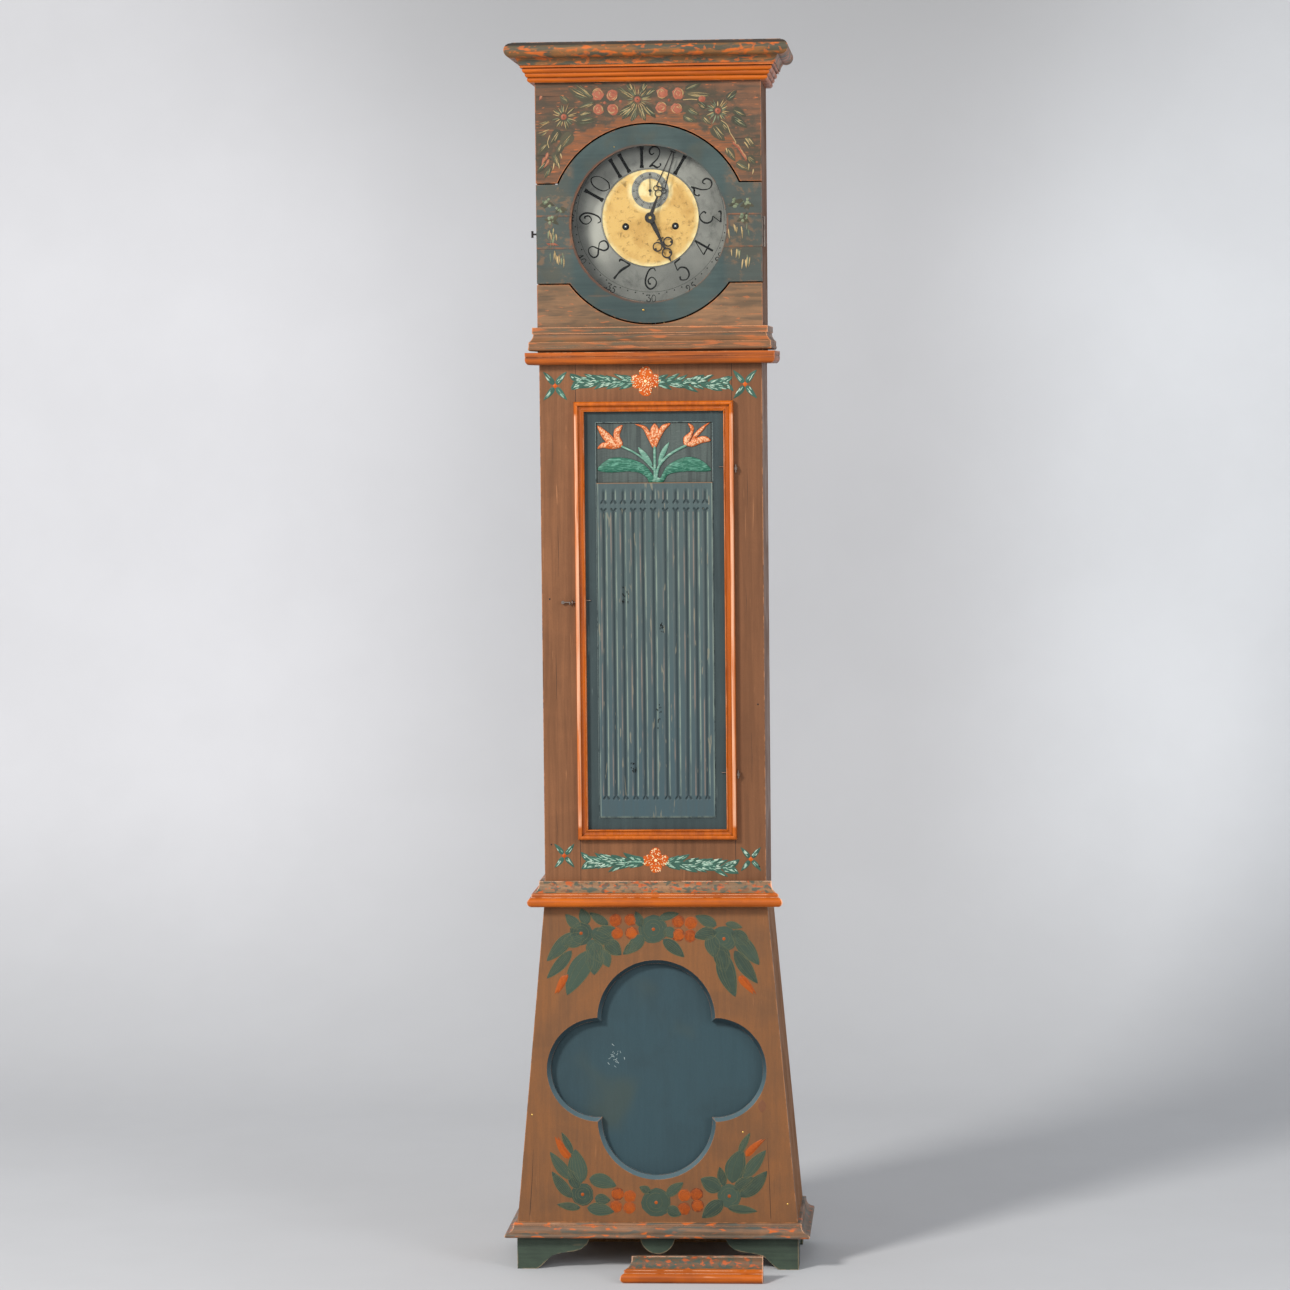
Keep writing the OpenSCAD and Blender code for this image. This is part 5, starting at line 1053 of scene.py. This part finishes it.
def carve(row, peak, edge, kind):
    """Raises one crowned form, full height at edge from its outline."""
    line = outline(row)
    hit = within(gx, gz, line)
    d = np.where(hit, distance(gx, gz, line, closed=True), 0)
    top = claim(peak * np.clip(d / edge, 0, 1) ** 0.42, hit, kind)
    rim_mask[top] = np.exp(-(d[top] / 1.5) ** 2)


for shape in BROAD_LEAVES:
    carve(shape, 2.7, 6.0, leaf_mask)
for shape in SLIM_LEAVES:
    carve(shape, 2.4, 5.0, stem_mask)
for points, r in STEMS:
    d = distance(gx, gz, np.array(spline(points, 7)))
    claim(2.6 * np.sqrt(np.clip(1 - (d / r) ** 2, 0, 1)), True, stem_mask)
for shape in PETALS:
    carve(shape, 3.7, 5.0, petal_mask)
formed = (leaf_mask + petal_mask + stem_mask) > 0
cuts = 0.10 * np.sin(gx * 1.9 + 3 * np.sin(gz * 0.21) + gz * 1.3)
relief += np.where(formed, cuts * np.clip(relief / 2, 0, 1), 0)
relief = np.clip(relief, 0, 4.2)
grown = np.any([np.roll(formed, (dr, dc), (0, 1)) for dr in (-1, 0, 1) for dc in (-1, 0, 1)], 0)
# Painted shade: a dark line on the ground round the carved forms, and along the field's right and
# top edges.
outline_shade = np.where(grown & ~formed, 0.9, 0.0)
outline_shade = np.maximum(outline_shade, 0.8 * ((np.abs(gx - HALF_W + 1) < 1.4) | (gz > zs[-1] - 1.6)))


def relief_board(zs, front, back, height, kinds, material, name, node):
    """A door board whose front is a height field, closed by its edges and a flat back."""
    cols, rows = len(xs), len(zs)
    verts = [((FIELD_X + x) * MM, -(front + h) * MM, z * MM)
             for z, row in zip(zs, height) for x, h in zip(xs, row)]
    faces = [(r * cols + c, r * cols + c + 1, (r + 1) * cols + c + 1, (r + 1) * cols + c)
             for r in range(rows - 1) for c in range(cols - 1)]
    loop = ([c for c in range(cols - 1)] + [r * cols + cols - 1 for r in range(rows - 1)]
            + [(rows - 1) * cols + c for c in range(cols - 1, 0, -1)]
            + [r * cols for r in range(rows - 1, 0, -1)])
    first, n = len(verts), len(loop)
    verts += [(verts[i][0], -back * MM, verts[i][2]) for i in loop]
    faces += [(loop[i], first + i, first + (i + 1) % n, loop[(i + 1) % n]) for i in range(n)]
    faces.append(tuple(range(first + n - 1, first - 1, -1)))
    board = make(name, verts, faces, material, "trunk_door")
    data = np.zeros((len(verts), 4), np.float32)
    data[:first] = np.stack([np.clip(k, 0, 1).ravel() for k in kinds], 1)
    layer = board.data.attributes.new("kind", "FLOAT_COLOR", "POINT")
    layer.data.foreach_set("color", data.ravel())
    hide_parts(node)
    return board


def kinds_of(g):
    """The four masks that a relief board carries."""
    fourth = g.put("Attribute", {}, out="Alpha", attribute_name="kind")
    split = g.put("SeparateColor", {0: fourth.node.outputs["Color"]}).node
    return split.outputs[0], split.outputs[1], split.outputs[2], fourth


def tulip_paint():
    """Dark ground, green leaves and stems, orange petals with pale dabs and dark veins, and
    painted shade round the forms and in the hollows.
    """
    g = Graph("carved_tulips")
    grain = g.noise(g.place((120, 120, 6)), 1.0, 5, 0.62, 0.4)
    is_petal, is_leaf, is_outline_shade, is_stem = kinds_of(g)
    tint = g.mix(g.ramp(grain, 0.4, 0.65), rgb(74, 84, 80), rgb(56, 64, 62))
    stroke = g.ramp(g.noise(g.place((26, 26, 150)), 2.4, 3, 0.6, 1.4), 0.48, 0.62)
    leafy = g.mix(g.times(stroke, 0.75), rgb(32, 92, 72), rgb(100, 156, 134))
    stalk = g.mix(stroke, rgb(92, 136, 118), rgb(140, 178, 158))
    dab = g.ramp(g.noise(g.place((150, 150, 150)), 2.6, 2, 0.5, 0.6), 0.47, 0.54)
    vein = g.ramp(g.noise(g.place((190, 190, 120)), 2.0, 2, 0.5, 0.9), 0.6, 0.66)
    petal = g.mix(g.times(dab, 0.8), rgb(190, 92, 30), rgb(230, 190, 150))
    petal = g.mix(g.times(vein, 0.8), petal, rgb(128, 56, 24))
    rim = g.put("Attribute", {}, out="Fac", attribute_name="rim")
    petal = g.mix(rim, petal, rgb(200, 88, 14))
    # The last two coats are painted shade: the dark line round the forms and field edges, and
    # darkened hollows.
    tint = g.coats(tint, (is_leaf, leafy), (is_stem, stalk), (is_petal, petal),
                   (g.times(is_outline_shade, 0.75), rgb(30, 36, 36)),
                   (g.times(g.hollows(0.006, 0.3, 0.9), 0.5), rgb(22, 26, 28)))
    return g.finish(tint, g.ramp(grain, 0.3, 0.7, 0.42, 0.6),
                    height=g.calc("ADD", grain, stroke), depth=0.0005, strength=0.4, spec=0.35)


tulips = relief_board(FIELD_Z + zs, 218.52, 216.0, relief,
                      (petal_mask, leaf_mask, outline_shade, stem_mask), tulip_paint(),
                      "carved_tulips", "tulip_carving")
rims = np.zeros(len(tulips.data.vertices))
rims[:gx.size] = rim_mask.ravel()
store(tulips.data, "rim", rims)

# Trunk door: the fluted board, hand cut, with a forked end to every flute
low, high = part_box("fluted_panel")
BOARD_Z, BOARD_TOP, BOARD_BACK = low.z / MM, high.z / MM, -high.y / MM
FLUTE_TOP, FLUTE_LOW = BOARD_TOP - 50.9, 846.0
FLUTES = (-90.7, -73.1, -55.9, -37.8, -20.6, -2.1, 19.3, 37.8, 56.7, 74.3, 90.5)
xs = np.linspace(-HALF_W, HALF_W, 296)
zs = np.concatenate([np.arange(BOARD_Z, 834, 4.0), np.arange(834, 862, 0.9),
                     np.arange(862, 1345, 6.0), np.arange(1345, BOARD_TOP, 0.9), [BOARD_TOP]])
gx, gz = np.meshgrid(xs, zs)
cut, pale, dark, pink = (np.zeros(gx.shape) for _ in range(4))


def bump(u, middle, width):
    return np.exp(-((u - middle) / width) ** 2)


def lift_to(mask, values):
    np.maximum(mask, values, out=mask)


def gouge(x, half, depth, strength):
    """One groove along the board: long left wall in painted shade, short right wall with a painted
    highlight.
    """
    u = (gx - x) / half
    s = np.where(u <= 0.35, (u + 1) / 1.35, (1 - u) / 0.65)
    s = np.where(np.abs(u) < 1, np.clip(s, 0, 1), 0) ** 0.8
    lift_to(cut, depth * s * strength)
    # Painted shade on the long left wall, painted highlight on the short right wall, a pinkish
    # mark on the left rim.
    lift_to(dark, bump(u, -0.15, 0.42) * strength)
    lift_to(pale, bump(u, 0.92, 0.24) * strength)
    lift_to(pink, bump(u, -1.12, 0.2) * strength)


def fork(x, z, reach_z, spread):
    """Two legs that leave a flute's end."""
    for side in (-1, 1):
        d = distance(gx, gz, np.array([(x, z), (x + side * spread, z + reach_z)]))
        lift_to(cut, 2.0 * np.sqrt(np.clip(1 - (d / 1.9) ** 2, 0, 1)))
        # Painted shade in the legs.
        lift_to(dark, bump(d, 0, 1.3) * 0.9)


for x in FLUTES:
    half = rng.uniform(4.1, 4.7)
    sway = rng.uniform(-0.5, 0.5) * np.sin((gz - 850) / rng.uniform(120, 220) + rng.random() * 6)
    long_part = np.clip((gz - FLUTE_LOW) / 3, 0, 1) * np.clip((FLUTE_TOP - gz) / 2, 0, 1)
    gouge(x + sway, half, rng.uniform(2.3, 2.6), long_part)
    down = BOARD_TOP - gz
    gouge(x + rng.uniform(-0.6, 0.6), half * 0.9, 2.4,
          np.clip((down - 10) / 9, 0, 1) * np.clip((31 - down) / 2, 0, 1))
    fork(x, BOARD_TOP - 30, -6, 3.9)
    fork(x, BOARD_TOP - 52, 5.5, 3.9)
    fork(x, FLUTE_LOW + 2, -6, rng.uniform(2.5, 4.5))
side_gap = bump(gx, 0.6 - HALF_W, 0.9)
# Painted highlight along the board's raised edges.
lift_to(pale, 0.8 * bump(gx, 2.4 - HALF_W, 0.8))
lift_to(pale, 0.8 * bump(gx, HALF_W - 1.0, 1.0))
lift_to(pale, 0.8 * (gz < BOARD_Z + 2))
top_line = 1.0 * (gz > BOARD_TOP - 1.4)


def flute_paint():
    """Slate blue, bluer low down, painted shade in flutes, painted highlight and pinkish marks on
    edges.
    """
    g = Graph("fluted_wood")
    grain = g.noise(g.place((150, 150, 6)), 1.0, 5, 0.62, 0.3)
    is_lit_edge, is_shade_and_gap, is_pink, is_top = kinds_of(g)
    low_blue = g.ramp(g.along("Z"), 0.84, 1.3, 1.0, 0.0)
    tint = g.mix(low_blue, rgb(70, 86, 86), rgb(58, 79, 85))
    broken = g.ramp(g.noise(g.place((60, 60, 9)), 1.6, 3, 0.6), 0.36, 0.6, 0.25, 1.0)
    patchy = g.ramp(g.noise(g.place((44, 44, 7)), 1.6, 3, 0.6), 0.46, 0.62, 0.1, 0.8)
    flecks = g.ramp(g.noise(g.place((90, 90, 12)), 2.0, 2, 0.5), 0.66, 0.72, 0.0, 0.6)
    # Coats: grain, painted shade in the flutes and the left gap, painted highlight on lit edges,
    # pinkish marks, flecks, top line, painted shade in hollows.
    tint = g.coats(tint, (g.ramp(grain, 0.36, 0.66, 0.0, 0.6), rgb(62, 76, 78)),
                   (g.times(is_shade_and_gap, 0.9), rgb(30, 44, 47)),
                   (g.times(g.times(is_lit_edge, broken), 0.85), rgb(138, 152, 138)),
                   (g.times(is_pink, patchy), rgb(142, 122, 108)),
                   (flecks, rgb(132, 126, 106)), (g.times(is_top, 0.85), rgb(136, 98, 66)),
                   (g.times(g.hollows(0.008, 0.3, 0.9), 0.35), rgb(18, 26, 28)))
    return g.finish(tint, g.ramp(grain, 0.3, 0.7, 0.44, 0.6), height=grain, depth=0.0006,
                    strength=0.4, spec=0.35)


relief_board(zs, BOARD_FRONT, BOARD_BACK, -cut,
             (np.maximum(pale - side_gap, 0), np.maximum(dark, side_gap), pink, top_line),
             flute_paint(), "fluted_board", "fluted_panel")
worm = Brush("board_worm_holes", "trunk_door", M["black"], face_plane(BOARD_FRONT))
for x, z, spread in ((-49, 1206, 17), (9, 990, 22), (16, 1150, 8), (-36, 900, 8)):
    for k in range(12):
        at = (x + rng.gauss(0, 2.6), z + rng.uniform(-spread, spread))
        worm.leaf(at, (at[0] + rng.uniform(-1, 1), at[1] - rng.uniform(2, 5)), 1.3, lift=0.05)
worm.done()


# Movement: each gut line runs from its drum round the weight's pulley to the seat board

def ring_faces(rings, sides):
    """Faces between the rings of a tube."""
    return [(i * sides + k, i * sides + (k + 1) % sides, (i + 1) * sides + (k + 1) % sides,
             (i + 1) * sides + k) for i in range(rings - 1) for k in range(sides)]


def tube(name, path, radius, material, sides=12):
    """A round tube along a path in one upright plane across the clock, its ends closed."""
    verts, across = [], Vector((0, 1, 0))
    for i, p in enumerate(path):
        run = Vector(path[min(i + 1, len(path) - 1)]) - Vector(path[max(i - 1, 0)])
        out = run.normalized().cross(across)
        for k in range(sides):
            a = TURN * k / sides
            verts.append(Vector(p) + radius * (math.cos(a) * out + math.sin(a) * across))
    ends = [tuple(range(sides - 1, -1, -1)), tuple(range(len(verts) - sides, len(verts)))]
    return make(name, verts, ring_faces(len(path), sides) + ends, material)


PULLEY_R = 0.020
LINE_R = 0.0009
SEAT_UNDER = 1.787
for key, side in (("going", 1), ("strike", -1)):
    low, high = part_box(key + "_line")
    y = (low.y + high.y) / 2
    drum_x = low.x + LINE_R if side > 0 else high.x - LINE_R
    pulley = low.z + LINE_R + PULLEY_R
    loop = [(drum_x + side * PULLEY_R * (1 - math.cos(a)), y, pulley - PULLEY_R * math.sin(a))
            for a in (math.pi * i / 20 for i in range(21))]
    path = [(drum_x, y, high.z)] + loop + [(drum_x + side * 2 * PULLEY_R, y, SEAT_UNDER)]
    line = tube(key + "_gut_line", path, LINE_R, M["gut"])
    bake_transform(line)
    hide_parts(key + "_line")

# Trunk door: the collar that carries the latch's eye
low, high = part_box("latch_hook")
EYE_Y, EYE_Z, EYE_SIDES = -0.227, high.z - 0.003, 16
COLLAR = ((-0.1388, 0.0012), (-0.1404, 0.0016), (-0.1418, 0.0026), (-0.1430, 0.0032))
verts = [(x, *p) for x, r in COLLAR for p in arc(EYE_Y, EYE_Z, r, TURN / EYE_SIDES, EYE_SIDES)]
make("latch_eye_collar", verts, ring_faces(len(COLLAR), EYE_SIDES), M["hinge"], "trunk_door")


# Open joints and cracks, scuffs, small iron, brass pins, a filled knot of the base

def cracks(name, body, face, groups):
    """Thin dark lines from end to end, each group with its bow and its half widths."""
    brush = Brush(name, body, crack, face)
    for ends, bow, half in groups:
        for x0, z0, x1, z1 in ends:
            middle = ((x0 + x1) / 2 + bow[0], (z0 + z1) / 2 + bow[1])
            brush.ribbon([(x0, z0), middle, (x1, z1)], half, 0.0, 0.02)
    brush.done()


def heads(name, body, material, face, lift, dome, spots):
    brush = Brush(name, body, material, face)
    for x, z, r in spots:
        brush.dot((x, z), r, lift=lift, dome=dome)
    brush.done()


crack = plain("joint_shadow", rgb(42, 28, 20), 0.8)
cracks("trunk_joint_lines", "case", TRUNK_FACE, (
    ([(x, z0, x, z1) for x in (-134, 144) for z0, z1 in ((651, 771), (1548, 1636))],
     (0.4, 0), (0.5, 0.42, 0.5)),
    ([(x, z, x, z - drop) for x, z, drop in (
        (-176, 1500, 60), (-168, 1330, 90), (170, 1430, 70), (-174, 1100, 80),
        (174, 960, 90), (-176, 820, 60), (166, 1220, 50))], (0.8, 0), (0.1, 0.3, 0.1))))
cracks("base_cracks", "case", BASE_FACE,
       ((((-229, 96, -222, 214), (203, 92, 197, 236)), (0.6, 0), (0.4, 0.45, 0.1)),))
cracks("hood_joint_lines", "hood", HOOD_FACE,
       ((((-197, 2090, -150, 2090), (150, 2012, 197, 2012), (-197, 1986, -160, 1986)),
         (0, 0.5), (0.5, 0.45, 0.15)),))
PANEL_FACE = face_plane(BASE_FRONT - 20.1, BASE_LEAN)
scuffs, = brushes("case", PANEL_FACE, None, ("panel_scuffs", "panel_scuff", rgb(110, 128, 130),
                                             rgb(170, 182, 180), 0.5, 0.4, 260))
for k in range(26):
    at = (-76 + rng.gauss(0, 7), 378 + rng.gauss(0, 9))
    scuffs.leaf(at, (at[0] + rng.uniform(-5, 5), at[1] + rng.uniform(-5, 5)),
                rng.uniform(0.5, 1.1), lift=0.05)
scuffs.done()
heads("nail_heads", "case", M["iron"], TRUNK_FACE, 0.3, 0.4,
      ((-184, 1200, 1.5), (-186, 760, 1.5), (186, 720, 1.5), (-60, 1640, 1.5),
       (176, 1625, 1.5), (186, 1010, 1.5)))
heads("base_nail_heads", "case", M["brass"], BASE_FACE, 0.2, 0.5,
      ((154, 246, 1.8), (-224, 276, 1.8), (233, 118, 1.8)))
knots, = brushes("case", BASE_FACE, None,
                 ("base_knot", "knot_wood", rgb(96, 60, 40), rgb(120, 78, 52), 0.5, 0.5, 200))
knots.leaf((188, 281), (189, 304), 14, lift=0.1, blunt=1.0)
knots.done()
pin = Brush("door_brass_nail", "hood_door", M["brass"], HOOD_FACE)
pin.dot((-11, 1712), 2.2, lift=0.5, dome=0.8)
pin.dot((-60, 2000), 1.0, lift=0.3, dome=0.3)
pin.done()


# Floor, backdrop, light and camera

def paper():
    """Grey studio paper with painted light and shade: brighter away from the clock, darker at the
    top and low down.

    Its back shows nothing, so the clock is seen from behind too.
    """
    g = Graph("studio_paper")
    x, z = g.along("X"), g.along("Z")
    # Painted light and shade: lighter to the sides, darker round the clock, at the top and low
    # down.
    crown = g.times(g.ramp(z, 1.7, 2.7), g.ramp(g.middle_gap(), 0.4, 1.6, 1.0, 0.35))
    fibre = g.noise(g.place(), 3.0, 4, 0.6)
    tone = g.coats(rgb(193, 194, 197), (g.ramp(x, -1.25, -0.35, 1.0, 0.0), rgb(216, 217, 221)),
                   (g.ramp(x, 0.35, 1.1), rgb(219, 222, 226)), (crown, rgb(168, 169, 171)),
                   (g.ramp(z, -0.05, 0.75, 0.85, 0.0), rgb(190, 192, 195)),
                   (g.ramp(fibre, 0.3, 0.7, 0.0, 0.06), rgb(150, 150, 152)))
    sheet = g.put("BsdfPrincipled", {"Base Color": tone, "Roughness": 0.9})
    behind = g.put("NewGeometry", {}, out="Backfacing")
    nothing = g.put("BsdfTransparent", {"Color": (1, 1, 1, 1)})
    return g.show(g.put("MixShader", {0: behind, 1: sheet, 2: nothing}))


def sweep():
    """Floor that curves up into a backdrop."""
    start, bend = 1.4, 1.2
    side = [(-12.0, 0.0), (start, 0.0)]
    side += [(start + bend * math.sin(a), bend - bend * math.cos(a))
             for a in (t * math.pi / 24 for t in range(1, 13))]
    side += [(start + bend, 9.0)]
    verts = [(x, y, z) for y, z in side for x in (-9.0, 9.0)]
    faces = [(i, i + 1, i + 3, i + 2) for i in range(0, len(verts) - 2, 2)]
    make("studio_sweep", verts, faces, paper())


def lamp(name, place, aim, size, power, colour=(1, 1, 1)):
    data = bpy.data.lights.new(name, "AREA")
    data.shape, data.size, data.energy, data.color = "DISK", size, power, colour
    o = link(name, data)
    o.location = place
    o.rotation_mode = "QUATERNION"
    o.rotation_quaternion = (Vector(aim) - Vector(place)).to_track_quat("-Z", "Y")


sweep()
lamp("key_light", (-3.4, -4.6, 4.2), (0, -0.2, 1.2), 1.3, 370, (1.0, 0.97, 0.93))
lamp("fill_light", (4.2, -4.2, 2.4), (0, -0.2, 1.1), 2.4, 84, (0.98, 0.98, 1.0))
lamp("front_light", (0.2, -7.0, 3.4), (0, 0, 1.0), 2.0, 60)
world = bpy.data.worlds.new("studio_world")
world.use_nodes = True
backdrop = world.node_tree.nodes["Background"]
backdrop.inputs["Color"].default_value = (0.97, 0.98, 1.0, 1)
backdrop.inputs["Strength"].default_value = 0.5
bpy.context.scene.world = world

# The camera stands at an angle round the clock's front, and is turned, tipped and rolled
FOCAL_PX, PHOTO_PX, SENSOR = 4218, 1290, 36
AWAY, EYE_HEIGHT = 7.5, 1.577
stand, turn, pitch, roll = (math.radians(a) for a in (3.95, 4.06, 3.51, -0.57))
camera_data = bpy.data.cameras.new("camera")
camera_data.sensor_width = SENSOR
camera_data.lens = FOCAL_PX / PHOTO_PX * SENSOR
camera = link("camera", camera_data)
camera.location = (AWAY * math.sin(stand), -TRUNK_FRONT * MM - AWAY * math.cos(stand), EYE_HEIGHT)
ahead = Vector((-math.sin(turn) * math.cos(pitch), math.cos(turn) * math.cos(pitch),
                -math.sin(pitch)))
right = Vector((math.cos(turn), math.sin(turn), 0))
up = right.cross(ahead)
right, up = (right * math.cos(roll) + up * math.sin(roll),
             -right * math.sin(roll) + up * math.cos(roll))
camera.rotation_mode = "QUATERNION"
camera.rotation_quaternion = Matrix((right, up, -ahead)).transposed().to_quaternion()
bpy.context.scene.camera = camera
bpy.context.scene.view_settings.view_transform = "Standard"
